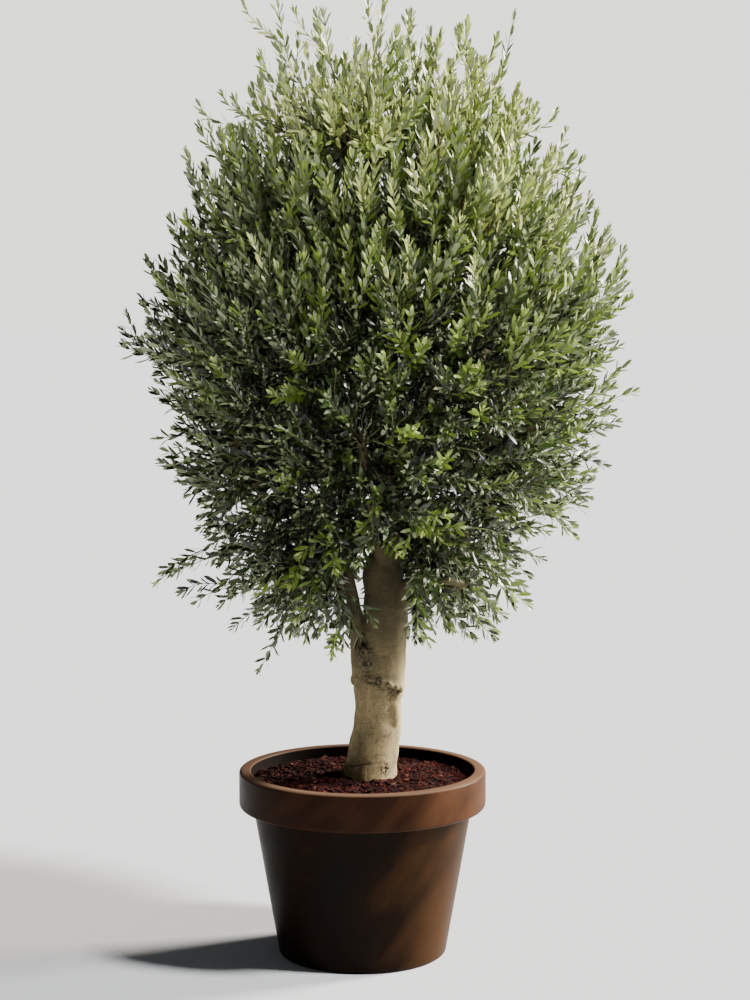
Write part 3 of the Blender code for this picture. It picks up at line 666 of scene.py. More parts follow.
def bough_to(mass, parent, share):
    """A bough from its parent limb to the place where it enters the mass."""
    start, along = along_path(parent.path, share)
    tip = entry_to(mass, start)
    span = (tip - start).length
    leave = ((tip - start).normalized() + BOUGH_LEAVE * along).normalized()
    arrive = ((tip - start).normalized() + BOUGH_ARRIVE * mass.outwards).normalized()
    path = hermite(start, leave * BOUGH_PULL * span, tip, arrive * BOUGH_PULL * span, LIMB_STEPS)
    radius = min(BOUGH_RADIUS, ROOT_TO_PARENT * parent.radius_at(share))
    return Limb("bough_" + mass.name, path, limb_radii(radius, BOUGH_TIP_RADIUS))


# --- the foliage's space ---


def crown_reach(height, azimuth):
    """How far the foliage reaches from its axis at this height, that way round."""
    heights, lefts, rights = zip(*OUTLINE)
    left = np.interp(height, heights, lefts, left=0, right=0)
    right = np.interp(height, heights, rights, left=0, right=0)
    return 0.5 * (left + right) + 0.5 * (right - left) * np.cos(azimuth)


class Mass:
    """A mass of foliage: its middle, the way it faces, and the limb whose tip it grows from."""

    def __init__(self, name, azimuth):
        self.level = name.split("_")[0]
        height, share = LEVELS[self.level]
        a = math.radians(azimuth)
        out = Vector((math.cos(a), math.sin(a), 0))
        self.name = name
        self.middle = Vector((AXIS_X, 0, height)) + out * share * float(crown_reach(height, a))
        self.outwards = (out + (height - TURN_UP_FROM) * TURN_UP * UP).normalized()


def nearest_mass(point, masses):
    return min(masses, key=lambda mass: (mass.middle - point).length)


def from_axis(point):
    """The level way from the foliage's axis to a point."""
    return Vector((point.x - AXIS_X, point.y, 0))


def stray(rng, size):
    """A chance turn, to be added to a direction."""
    return Vector((rng.gauss(0, 1), rng.gauss(0, 1), rng.gauss(0, 1))) * size


def top_share(point):
    """0 in the body of the foliage, 1 among the shoots that stand out at the top."""
    return clamp((point.z - TOP_FROM) / TOP_RUN)


def depth_inside(point, masses):
    """How far inside the foliage's surface a point lies; the surface swings in and out by sprays."""
    x, y = point.x - AXIS_X, point.y
    radius, azimuth = math.hypot(x, y), math.atan2(y, x)
    floor = UNDERSIDE + UNDERSIDE_SLOPE * max(0, UNDERSIDE_CLEAR_RADIUS - radius)
    height = point.z + TOP_DROP * top_share(point)
    reach = float(crown_reach(height, azimuth))
    if reach <= 0 or point.z < floor:
        return -1.0
    rise = crown_reach(height + SLOPE_STEP, azimuth) - crown_reach(height - SLOPE_STEP, azimuth)
    slope = clamp(float(rise) / (2 * SLOPE_STEP), -STEEPEST, STEEPEST)
    nearest, second = sorted((point - mass.middle).length for mass in masses)[:2]
    crease = CREASE_DEPTH * math.exp(-(((second - nearest) / CREASE_WIDTH) ** 2))
    swing = min(LOBE_DEPTH * (noise.noise(point / LOBE_SIZE) - LOBE_SINK), SWING_OUT)
    depth = (reach + swing - radius) / math.hypot(1, slope) - crease - LEAF_MARGIN
    middle, half_width, top, back = TRUNK_FRONT
    if point.y < back and abs(point.x - middle) < half_width and point.z < top:
        return -1.0
    return min(depth, point.z - floor)


def growth(point, rng):
    """The way a shoot grows at this place: outwards, upwards near the top, hanging near the foot."""
    out = from_axis(point)
    spread = min(1.0, out.length / SPREAD_FROM)
    lift = read_off(LIFT, point.z)
    return (out.normalized() * spread + lift * UP + stray(rng, SHOOT_STRAY)).normalized()


def held_in(point):
    """The same tip, brought back to where the tallest and longest shoots end."""
    out = from_axis(point)
    furthest = float(crown_reach(min(point.z, EDGE_TOP), math.atan2(out.y, out.x))) + EDGE_ROOM
    if out.length > furthest:
        point = point + out.normalized() * (furthest - out.length)
    beside, lowest = RIGHT_UNDERSIDE
    floor = lowest if point.x > beside else 0
    return Vector((point.x, max(point.y, NEAREST_TIP), clamp(point.z, floor, HIGHEST_TIP)))


def shoot_tips(masses, rng):
    """Places for the tips of shoots, close together at the surface and sparse deep inside."""
    cell = SHOOT_SPACING[-1][1] * OPENER[0][1]
    around = [(i, j, k) for i in (-1, 0, 1) for j in (-1, 0, 1) for k in (-1, 0, 1)]
    grid = {}
    tips = []
    for _ in range(TRIES):
        point = Vector([rng.uniform(*span) for span in TIP_BOX])
        depth = depth_inside(point, masses)
        if depth < 0:
            continue
        spacing = read_off(SHOOT_SPACING, depth) * read_off(OPENER, point.z)
        x, y, z = (int(c // cell) for c in point)
        near = [other for i, j, k in around for other in grid.get((x + i, y + j, z + k), ())]
        if all((point - other).length > spacing for other in near):
            grid.setdefault((x, y, z), []).append(point)
            if depth < spacing:
                out = STANDING_OUT * max(rng.gauss(STANDING_MEAN, 1), 0)
                out *= 1 + TOP_STANDING_OUT * top_share(point)
                point = held_in(point + growth(point, rng) * out)
            tips.append((point, depth, False))
    return tips


# --- twigs and leaves ---


class Skeleton:
    """The twigs of one mass: points, each with the point it grows from, and chains of points."""

    def __init__(self):
        self.points = []
        self.parents = []
        self.ways = []
        self.chains = []  # each a list of point numbers, from its root to its tip
        self.open = []  # numbers of the points that a shoot may grow from

    def add_chain(self, path, root, growing=1.0):
        """Adds a path that grows from point root; shoots may leave from its first part."""
        numbers = [] if root is None else [root]
        for i, point in enumerate(path):
            if i == 0 and root is not None:
                continue
            self.parents.append(numbers[-1] if numbers else None)
            self.points.append(point)
            self.ways.append((path[max(i, 1)] - path[max(i - 1, 0)]).normalized())
            numbers.append(len(self.points) - 1)
            if i <= growing * (len(path) - 1):
                self.open.append(numbers[-1])
        self.chains.append(numbers)
        return numbers

    def best_root(self, tip, way):
        """The point that a shoot to tip grows from: near, straight behind it, already growing that way."""
        points = np.array([self.points[i] for i in self.open])
        ways = np.array([self.ways[i] for i in self.open])
        to_tip = np.array(tip) - points
        length = np.linalg.norm(to_tip, axis=1) + 1e-6
        bend = 1 - (to_tip * ways).sum(axis=1) / length
        aside = 1 - (to_tip @ np.array(way)) / length
        cost = length * (1 + BEND_COST * bend + STRAIGHTNESS * aside)
        cost += SHORT_COST * np.maximum(USUAL_SHOOT - length, 0)
        cost += np.where(length < SHORTEST_SHOOT, SHORTEST_COST, 0)
        return self.open[int(np.argmin(cost))]

    def radii(self, tip_numbers):
        """Each point's radius: thicker the more shoots it feeds."""
        fed = [0] * len(self.points)
        for number in tip_numbers:
            while number is not None:
                fed[number] += 1
                number = self.parents[number]
        return [TWIG_RADIUS * max(n, 1) ** TWIG_GROWTH for n in fed]


def fan_directions(mass, count):
    """Directions spread evenly over a fan about the mass's outward one."""
    pole = mass.outwards
    side = pole.cross(UP).normalized()
    over = side.cross(pole)
    directions = []
    for k in range(count):
        polar = math.acos(1 - (k + 0.5) / count * (1 - math.cos(FAN)))
        round_pole = k * GOLDEN_ANGLE
        flat = math.cos(round_pole) * side + math.sin(round_pole) * over
        directions.append((math.cos(polar) * pole + math.sin(polar) * flat).normalized())
    return directions


def stem_path(mass, carrier):
    along = (carrier.path[-1] - carrier.path[-2]).normalized()
    start = carrier.path[-1] - along * STEM_SUNK
    bend = start + along * STEM_STRAIGHT
    heading = (mass.middle + mass.outwards * STEM_PAST_MIDDLE - bend).normalized()
    end = bend + (along + STEM_TURN * heading).normalized() * (STEM_LENGTH - STEM_STRAIGHT)
    arrive = (end - bend).normalized() * STEM_LENGTH
    return hermite(start, along * STEM_LENGTH, end, arrive, STEM_STEPS)


def room(mass, masses, direction):
    """How far the mass's own share of the foliage runs from its middle, that way."""
    length = 0.0
    while length < MOST_ROOM:
        point = mass.middle + direction * (length + ROOM_STEP)
        if nearest_mass(point, masses) is not mass or depth_inside(point, masses) < 0:
            break
        length += ROOM_STEP
    return length


def steps_for(length):
    return max(4, round(length / NODE_STEP))


def tint_of(tip, depth, rng):
    """The tint of a spray: the young ones stand at the top and at the surface; the same rule paints paler
    tints as light at the top, at the surface and to the right, and darker ones as shade deep inside.
    """
    height, run, gain = YOUTH_AND_LIGHT_BY_HEIGHT
    youth_and_light = YOUTH + gain * clamp((tip.z - height) / run) + YOUTH_AND_SHADE_BY_DEPTH * depth
    youth_and_light += rng.uniform(-YOUTH_STRAY, YOUTH_STRAY)
    # painted light: sprays to the right get paler tints, as if lit
    painted_light_right, less_at_top = PAINTED_LIGHT_TO_RIGHT
    youth_and_light += painted_light_right * (tip.x - AXIS_X) * (1 - less_at_top * top_share(tip))
    tint = next(number for number, row in enumerate(TINTS) if youth_and_light > row[0])
    return 1 if tint > 1 and rng.random() < FRESH_SPRAYS else tint


def leaf_out(path, depth, rng, leaves, leafy=None):
    """Pairs of leaves, each at right angles to the last, along the outer part of a shoot."""
    up, outwards = LIGHT_SEEKING
    total = sum((b - a).length for a, b in zip(path, path[1:]))
    leafy = min(leafy or rng.uniform(*LEAFY_LENGTHS), LEAFY_SHARE * total)
    tint = tint_of(path[-1], depth, rng)
    full = rng.uniform(*LEAF_LENGTHS)
    slim = rng.uniform(*LEAF_SLIMNESS)
    turn = rng.uniform(0, math.tau)
    back, internode, k = FIRST_PAIR, FIRST_INTERNODE, 0
    while back < leafy:
        place, along = along_path(path, 1 - back / total)
        side = level_side(along, Vector((1, 0, 0))).normalized()
        over = along.cross(side)
        a = turn + k * math.pi / 2 + rng.uniform(-PAIR_STRAY, PAIR_STRAY)
        across = math.cos(a) * side + math.sin(a) * over
        for flank in (across, -across):
            angle = LEAF_ANGLES[min(k, len(LEAF_ANGLES) - 1)] + rng.uniform(-ANGLE_STRAY, ANGLE_STRAY)
            angle = math.radians(angle) * (1 - LEAF_CLOSING * max(along.z, 0))
            way = (math.cos(angle) * along + math.sin(angle) * flank).normalized()
            face = math.sin(angle) * along - math.cos(angle) * flank
            face = face + up * UP + outwards * from_axis(place).normalized()
            face += stray(rng, FACE_STRAY)
            start_size = LEAF_START_SIZES[k] if k < len(LEAF_START_SIZES) else 1.0
            length = full * start_size * rng.uniform(*LENGTH_STRAY)
            width = length * slim * rng.uniform(*SLIMNESS_STRAY)
            own_tint = max(tint - 1, 0) if k < YOUNGER_PAIRS else tint
            leaves.append((place, way, face, (width, length, length), float(own_tint)))
        back += internode
        internode = min(internode * INTERNODE_GROWTH, LAST_INTERNODE * rng.uniform(*INTERNODE_STRAY))
        k += 1


def grow_mass(mass, masses, carrier, tips, leaves, rng):
    """(skeleton of a mass, its points' radii); its leaves are gathered in leaves."""
    skeleton = Skeleton()
    stem = skeleton.add_chain(stem_path(mass, carrier), None)
    for k, direction in enumerate(fan_directions(mass, BRANCHES)):
        reach = room(mass, masses, direction) * BRANCH_RUN
        if reach < SHORTEST_BRANCH:
            continue
        root = stem[-1 - k % BRANCH_POINTS]
        start = skeleton.points[root]
        end = mass.middle + direction * reach
        span = (end - start).length
        leave = (skeleton.ways[root] + (end - start).normalized()).normalized() * span
        arrive = (direction + BRANCH_ARRIVE * growth(end, rng)).normalized() * span
        skeleton.add_chain(hermite(start, leave, end, arrive, steps_for(span)), root)
    base = skeleton.points[0]
    along_root, firmness = SHOOT_LEAVE
    ends = []
    for tip, depth, long_one in sorted(tips, key=lambda job: (job[2], (job[0] - base).length)):
        way = growth(tip, rng)
        root = skeleton.best_root(tip, way)
        start = skeleton.points[root]
        span = (tip - start).length
        leave = (along_root * skeleton.ways[root] + (tip - start).normalized()).normalized()
        path = hermite(start, leave * span * firmness, tip, way * span * SHOOT_ARRIVE, steps_for(span))
        ends.append(skeleton.add_chain(path, root, SHOOT_OPEN)[-1])
        leaf_out(path, depth, rng, leaves, LONG_LEAFY_SHARE * span if long_one else None)
    return skeleton, skeleton.radii(ends)


# --- materials ---


def make_pot_plastic(name, dark, usual, light, painted_light_share):
    """Rotomoulded polyethylene: satin, with faint slanting wipe marks, and painted paler to the right as
    painted sunlight.
    """
    mat, tree, shader = new_material(name, usual, 0.42, ior=1.51, specular=0.05)
    place = add_node(tree, "ShaderNodeTexCoord").outputs["Object"]
    slant = {"Vector": place, "Rotation": (0, math.radians(40), 0), "Scale": (70 * MM, 160 * MM, 260 * MM)}
    slanted = add_node(tree, "ShaderNodeMapping", slant, vector_type="TEXTURE")
    wipes = add_node(tree, "ShaderNodeTexNoise", {"Vector": slanted, "Scale": 1.0, "Detail": 5.0})
    blotches = {"Vector": place, "Scale": 1 / (240 * MM), "Detail": 3.0}
    both = {"Factor": 0.50, "A": add_node(tree, "ShaderNodeTexNoise", blotches), "B": wipes}
    both = add_node(tree, "ShaderNodeMix", both, data_type="FLOAT")
    spot = add_node(tree, "ShaderNodeSeparateXYZ", {"Vector": place}).outputs
    # painted light: the right side is painted paler, as if lit by the sun
    painted_light_right = {"Value": spot["X"], "From Min": 0.02, "From Max": 0.27, "To Max": painted_light_share}
    painted_light_right = add_node(tree, "ShaderNodeMapRange", painted_light_right, interpolation_type="SMOOTHSTEP")
    tone_with_painted_light = {"Fac": add_node(tree, "ShaderNodeMath", {0: both, 1: painted_light_right})}
    colour = add_node(tree, "ShaderNodeValToRGB", tone_with_painted_light, ((0.36, dark), (0.56, usual), (0.88, light)))
    # painted highlight: the top of the rim is painted pale, as light catching it
    rim_highlight_share = {"From Min": POT_HEIGHT - 5 * MM, "From Max": POT_HEIGHT - 0.5 * MM, "To Max": 0.55}
    rim_highlight_share["Value"] = spot["Z"]
    rim_highlight_share = add_node(tree, "ShaderNodeMapRange", rim_highlight_share, interpolation_type="SMOOTHSTEP")
    painted_rim_highlight = {"Factor": rim_highlight_share, "A": colour, "B": linear("#7d6350")}
    sheen = {"Value": wipes, "From Min": 0.3, "From Max": 0.7, "To Min": 0.40, "To Max": 0.52}
    # the skin of a moulding: a very fine orange peel
    peel = add_node(tree, "ShaderNodeTexNoise", {"Vector": place, "Scale": 1 / (3.5 * MM), "Detail": 3.0})
    bump = {"Height": peel, "Strength": 0.10, "Distance": 0.3 * MM}
    surface = {
        "Base Color": add_node(tree, "ShaderNodeMix", painted_rim_highlight, data_type="RGBA"),
        "Roughness": add_node(tree, "ShaderNodeMapRange", sheen),
        "Normal": add_node(tree, "ShaderNodeBump", bump),
    }
    feed(shader, surface)
    return mat


def make_bark():
    """Olive bark, grey-tan and matt: long upright streaks, fine dark cracks, pale flecks; a painted
    highlight down its right side and painted shade up under the foliage.
    """
    mat, tree, shader = new_material("olive bark", "#7d6d50", 0.86)
    place = add_node(tree, "ShaderNodeTexCoord").outputs["Object"]
    spot = add_node(tree, "ShaderNodeSeparateXYZ", {"Vector": place}).outputs
    upright = {"Vector": place, "Scale": (1 / (17 * MM), 1 / (17 * MM), 1 / (34 * MM))}
    streaks = {"Scale": 1.0, "Detail": 7.0, "Roughness": 0.62, "Distortion": 0.6}
    streaks["Vector"] = add_node(tree, "ShaderNodeMapping", upright)
    streaks = add_node(tree, "ShaderNodeTexNoise", streaks)
    tans = ((0.26, "#5c4e35"), (0.42, "#857450"), (0.56, "#9d8b62"), (0.74, "#bfae83"))
    streaked = add_node(tree, "ShaderNodeValToRGB", {"Fac": streaks}, tans)
    # patches of greener and browner bark, a hand's width across
    patches = add_node(tree, "ShaderNodeTexNoise", {"Vector": place, "Scale": 1 / (70 * MM), "Detail": 3.0})
    browns = ((0.30, "#6d6a4b"), (0.50, "#95845c"), (0.70, "#c0ac7c"))
    colour = add_node(tree, "ShaderNodeValToRGB", {"Fac": patches}, browns)
    # flecks and warts of 2 to 3 mm
    flecks = {"Vector": place, "Scale": 1 / (4 * MM), "Detail": 4.0, "Roughness": 0.7}
    flecks = add_node(tree, "ShaderNodeTexNoise", flecks)
    flecked = {"Value": flecks, "From Min": 0.57, "From Max": 0.68, "To Max": 0.55}
    flecked = add_node(tree, "ShaderNodeMapRange", flecked)
    # fine cracks across the wood, a few tenths of a millimetre wide and a thumb's width apart
    across = {"Vector": place, "Scale": (1 / (55 * MM), 1 / (55 * MM), 1 / (11 * MM))}
    across = add_node(tree, "ShaderNodeMapping", across)
    hairs = {"Fac": add_node(tree, "ShaderNodeTexNoise", {"Vector": across, "Scale": 1.0, "Detail": 4.0})}
    cracked = ((0.480, "#ffffff"), (0.50, "#6a583c"), (0.515, "#ffffff"))
    cracked = add_node(tree, "ShaderNodeValToRGB", hairs, cracked)
    # painted highlight: the right side is painted paler, as if lit
    painted_light_right = {"Value": spot["X"], "From Min": 0.084, "From Max": 0.110, "To Max": 0.75}
    # painted shade: the trunk is painted darker up under the foliage
    painted_crown_shade = {"Value": spot["Z"], "From Min": 0.62, "From Max": 0.90, "To Max": 0.84}
    painted_light_right = add_node(tree, "ShaderNodeMapRange", painted_light_right, interpolation_type="SMOOTHSTEP")
    painted_crown_shade = add_node(tree, "ShaderNodeMapRange", painted_crown_shade, interpolation_type="SMOOTHSTEP")
    # how deep a point lies comes with the mesh
    hollow = add_node(tree, "ShaderNodeAttribute", attribute_name="hollow").outputs["Fac"]
    layers = (
        (patches, streaked, "MIX"),
        (flecked, linear("#c3b695"), "MIX"),
        (0.6, cracked, "MULTIPLY"),
        (painted_light_right, linear("#d3c58d"), "MIX"),  # painted highlight: its right side is painted pale, as if lit by the sun
        (painted_crown_shade, linear("#2b2616"), "MIX"),  # painted shade: it is painted dark up under the foliage, where the crown's shadow falls
        (hollow, linear("#1f1810"), "MIX"),  # cracks and hollows hold dirt
    )
    for share, over, blending in layers:
        layer = {"Factor": share, "A": colour, "B": over}
        colour = add_node(tree, "ShaderNodeMix", layer, data_type="RGBA", blend_type=blending)
    grain = add_node(tree, "ShaderNodeMix", {"Factor": 0.45, "A": streaks, "B": flecks}, data_type="FLOAT")
    bump = add_node(tree, "ShaderNodeBump", {"Height": grain, "Strength": 0.7, "Distance": 1.6 * MM})
    feed(shader, {"Base Color": colour, "Normal": bump})
    return mat


def make_wood_chip(name, dark, light):
    """Shredded pine bark: dry, rough, each chip streaked along its length."""
    mat, tree, shader = new_material(name, dark, 0.88, specular=0.12)
    place = add_node(tree, "ShaderNodeTexCoord").outputs["Object"]
    grain = {"Vector": place, "Scale": 1 / (5 * MM), "Detail": 5.0, "Roughness": 0.65}
    grain = add_node(tree, "ShaderNodeTexNoise", grain)
    colour = add_node(tree, "ShaderNodeValToRGB", {"Fac": grain}, ((0.35, dark), (0.68, light)))
    bump = add_node(tree, "ShaderNodeBump", {"Height": grain, "Strength": 0.6, "Distance": 1.0 * MM})
    feed(shader, {"Base Color": colour, "Normal": bump})
    return mat


def make_leaf_material(name, colour, roughness):
    """Olive leaf: leathery and waxy above, a felt of pale scales below; one colour to a spray."""
    return new_material(name, colour, roughness, ior=1.5)[0]


# --- pot, soil and mulch ---


def turned(name, profile, sides, mats):
    """A closed body turned about the vertical axis from its half outline, whose ends lie on the axis."""
    verts = [(0, 0, profile[0][1])]
    for radius, height in profile[1:-1]:
        verts += circle(radius, height, sides)
    verts.append((0, 0, profile[-1][1]))
    last = len(verts) - 1
    rings = len(profile) - 2
    faces = []
    for i in range(sides):
        j = (i + 1) % sides
        faces.append((0, 1 + j, 1 + i))
        for k in range(rings - 1):
            low, high = 1 + k * sides, 1 + (k + 1) * sides
            faces.append((low + i, low + j, high + j, high + i))
        high = 1 + (rings - 1) * sides
        faces.append((high + i, high + j, last))
    obj = add_mesh(name, verts, faces, mats)
    obj.data.set_sharp_from_angle(angle=math.radians(35))
    return obj


def rounding(radius, height, size, start, end, steps=6):
    """Points of a round edge about this centre, from one angle to another."""
    angles = [start + (end - start) * i / steps for i in range(steps + 1)]
    return [(radius + size * math.cos(a), height + size * math.sin(a)) for a in angles]


def make_pot():
    """The pot as one turned wall; its band has a skin of its own, and its inside one painted dark as shade.
    """
    quarter = math.pi / 2
    inner = BAND_RADIUS - RIM_WIDTH
    below, inside = 1.4 * RIM_ROUND, RIM_ROUND / 2
    wide, narrow = FOOT_RING
    profile = [(0, FOOT_HOLLOW), (FOOT_RADIUS - wide, FOOT_HOLLOW), (FOOT_RADIUS - narrow, 0.0)]
    profile += rounding(FOOT_RADIUS - FOOT_ROUND, FOOT_ROUND, FOOT_ROUND, -quarter, -0.2)
    profile += [(BODY_TOP_RADIUS + out, BAND_BOTTOM + up) for out, up in BAND_FILLET]
    profile += rounding(BAND_RADIUS - below, BAND_BOTTOM + below, below, -quarter, 0)
    profile += rounding(BAND_RADIUS - RIM_ROUND, POT_HEIGHT - RIM_ROUND, RIM_ROUND, 0, quarter)
    profile += rounding(inner + inside, POT_HEIGHT - inside, inside, quarter, 2 * quarter)
    profile += [(inner, POT_HEIGHT - RIM_DEPTH), (BODY_TOP_RADIUS - WALL, BAND_BOTTOM - BAND_STEP)]
    profile += [(FOOT_RADIUS - WALL, POT_FLOOR), (0, POT_FLOOR)]
    pot = turned("pot_body", profile, POT_SIDES, [make_pot_plastic(*skin) for skin in POT_SKINS])
    for face in pot.data.polygons:
        x, y, z = face.center
        # faces turned into the pot get the inside's skin, painted dark as shade
        if z > PAINTED_SHADE_FROM and face.normal.x * x + face.normal.y * y < -FACING_IN * math.hypot(x, y):
            face.material_index = 2
        elif z > BAND_BOTTOM:
            face.material_index = 1
    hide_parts("pot")
    return pot


def soil_height(x, y):
    """The mulch heaps up a little towards the trunk and lies unevenly."""
    share = min(math.hypot(x, y) / MULCH_RADIUS, 1.0)
    heap = MULCH_TOP + (MULCH_EDGE - MULCH_TOP) * share**2
    height, width = MULCH_UNEVEN
    return heap + height * noise.noise(Vector((x, y, 0)) / width)


def make_soil():
    rings, sides = SOIL_RINGS, SOIL_SIDES
    verts = [(0, 0, soil_height(0, 0))]
    for k in range(1, rings + 1):
        verts += [(x, y, soil_height(x, y)) for x, y, _ in circle(MULCH_RADIUS * k / rings, 0, sides)]
    rim = 1 + (rings - 1) * sides
    low = len(verts)
    verts += circle(SOIL_FOOT * MULCH_RADIUS, MULCH_EDGE - SOIL_DEPTH, sides)
    verts.append((0, 0, MULCH_EDGE - SOIL_DEPTH))
    faces = []
    for i in range(sides):
        j = (i + 1) % sides
        faces.append((0, 1 + i, 1 + j))
        for k in range(rings - 1):
            a, b = 1 + k * sides, 1 + (k + 1) * sides
            faces.append((a + i, b + i, b + j, a + j))
        faces.append((rim + i, low + i, low + j, rim + j))
        faces.append((low + i, len(verts) - 1, low + j))
    soil = add_mesh("soil", verts, faces, [make_wood_chip("dark potting soil", "#0d0706", "#1c0f0c")])
    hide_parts("mulch")
    return soil


def make_chip(name, rng):
    """A small splinter of bark 1 long, 0.5 wide and 0.22 thick, with broken ends."""
    bm = bmesh.new()
    bmesh.ops.create_cube(bm, size=1.0)
    bmesh.ops.bevel(bm, geom=bm.edges[:], offset=0.16, segments=1, affect="EDGES")
    for v in bm.verts:
        v.co.x += rng.uniform(-0.16, 0.16)
        v.co.y += rng.uniform(-0.14, 0.14)
        v.co.z += rng.uniform(-0.12, 0.12) + 0.35 * v.co.x**2
        v.co = Vector((v.co.x, v.co.y * (0.50 - 0.16 * v.co.x), v.co.z * 0.22))
    bmesh.ops.triangulate(bm, faces=bm.faces[:])
    bmesh.ops.recalc_face_normals(bm, faces=bm.faces)
    mesh = bpy.data.meshes.new(name)
    bm.to_mesh(mesh)
    bm.free()
    return bpy.data.objects.new(name, mesh)


def mulch_tree(chips, mats):
    """Scatters chips over the top of a body, each lying at its own slant."""
    shortest, longest = CHIP_LENGTHS
    sizes = {"Spacing": CHIP_SPACING, "Shortest": shortest, "Longest": longest}
    tree, given, result = new_tree("scatter chips", sizes)
    normal = add_node(tree, "GeometryNodeInputNormal")
    up = add_node(tree, "ShaderNodeSeparateXYZ", {"Vector": normal}).outputs["Z"]
    top = add_node(tree, "FunctionNodeCompare", {"A": up, "B": FLAT_ENOUGH}, operation="GREATER_THAN")
    scatter = {"Mesh": given["Geometry"], "Selection": top, "Distance Min": given["Spacing"]}
    scatter.update({"Density Max": CHIP_DENSITY, "Seed": SEED})
    points = add_node(tree, "GeometryNodeDistributePointsOnFaces", scatter, distribute_method="POISSON")
    slant = CHIP_SLANT
    lie = {"Min": (-slant, -slant, 0.0), "Max": (slant, slant, math.tau), "Seed": SEED}
    lie = add_node(tree, "FunctionNodeRandomValue", lie, data_type="FLOAT_VECTOR")
    size = {2: given["Shortest"], 3: given["Longest"], "Seed": SEED + 1}
    shade = {2: 0.0, 3: 1.0, "Seed": SEED + 2}
    laid = {
        "Points": points,
        "Instance": add_node(
            tree, "GeometryNodeCollectionInfo", {"Collection": chips, "Separate Children": True}
        ),
        "Pick Instance": True,
        "Rotation": add_node(tree, "FunctionNodeEulerToRotation", {"Euler": lie}),
        "Scale": add_node(tree, "FunctionNodeRandomValue", size, data_type="FLOAT"),
    }
    kept = {
        "Geometry": add_node(tree, "GeometryNodeInstanceOnPoints", laid),
        "Name": "tint",
        "Value": add_node(tree, "FunctionNodeRandomValue", shade, data_type="FLOAT"),
    }
    kept = add_node(tree, "GeometryNodeStoreNamedAttribute", kept, data_type="FLOAT", domain="INSTANCE")
    real = add_node(tree, "GeometryNodeRealizeInstances", {"Geometry": kept})
    tint = add_node(tree, "GeometryNodeInputNamedAttribute", {"Name": "tint"}, data_type="FLOAT")
    feed(result, {"Geometry": deal_out(tree, real, tint, mats)})
    return tree


def make_mulch():
    """The soil with its skin of chips, as two pieces."""
    soil = make_soil()
    rng = random.Random(SEED)
    family = shape_family("chip shapes", [make_chip(f"chip_shape_{k}", rng) for k in range(CHIP_SHAPES)])
    mats = [(least, make_wood_chip(*bark)) for least, *bark in CHIP_BARKS]
    faces = [tuple(p.vertices) for p in soil.data.polygons]
    chips = add_mesh("bark_chips", [v.co for v in soil.data.vertices], faces)
    grow_by_tree(chips, mulch_tree(family, mats))
    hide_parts("mulch")
    drop_family(family)
    return [soil, chips]


# --- trunk and limbs ---


def tube(path, radii, sides, flute=None):
    """(points, faces) of a closed tube along a path."""
    points, faces = [], []
    for point, radius, (side, across) in zip(path, radii, carried_frames(path)):
        for k in range(sides):
            a = math.tau * k / sides
            r = radius * (flute(a, point.z) if flute else 1)
            points.append(point + r * (math.cos(a) * side + math.sin(a) * across))
    for k in range(len(path) - 1):
        for i in range(sides):
            j = (i + 1) % sides
            low, high = k * sides, (k + 1) * sides
            faces.append((low + i, low + j, high + j, high + i))
    faces.append(tuple(reversed(range(sides))))
    faces.append(tuple(range((len(path) - 1) * sides, len(path) * sides)))
    return points, faces


def join_tubes(name, tubes, mat):
    """One mesh of several tubes."""
    verts, faces = [], []
    for points, tube_faces in tubes:
        first = len(verts)
        verts += points
        faces += [tuple(first + i for i in face) for face in tube_faces]
    obj = add_mesh(name, verts, faces, [mat])
    bm = bmesh.new()
    bm.from_mesh(obj.data)
    bmesh.ops.recalc_face_normals(bm, faces=bm.faces)
    bm.to_mesh(obj.data)
    bm.free()
    return obj


def trunk_limb():
    """The trunk's axis and radii every few millimetres, evened out, from just under the mulch."""
    heights, shifts, radii = (np.array(c) for c in zip(*TRUNK_RINGS))
    z = np.arange(heights[0] - TRUNK_SUNK, heights[-1], TRUNK_STEP)
    even = np.hanning(7) / np.hanning(7).sum()
    x = np.convolve(np.pad(np.interp(z, heights, shifts), 3, "edge"), even, "valid")
    r = np.convolve(np.pad(np.interp(z, heights, radii), 3, "edge"), even, "valid")
    return Limb("trunk", [Vector((a, 0, b)) for a, b in zip(x, z)], [float(v) for v in r])


def trunk_flute(angle, height):
    return 1 + TRUNK_LOBE_DEPTH * math.sin(TRUNK_LOBES * angle + 7 * height)


def lump(centre, size, stretch):
    """(points, faces) of a rounded lump of wood."""
    bm = bmesh.new()
    bmesh.ops.create_icosphere(bm, subdivisions=3, radius=size)
    points = [Vector(centre) + Vector(v.co[i] * stretch[i] for i in range(3)) for v in bm.verts]
    faces = [tuple(v.index for v in face.verts) for face in bm.faces]
    bm.free()
    return points, faces


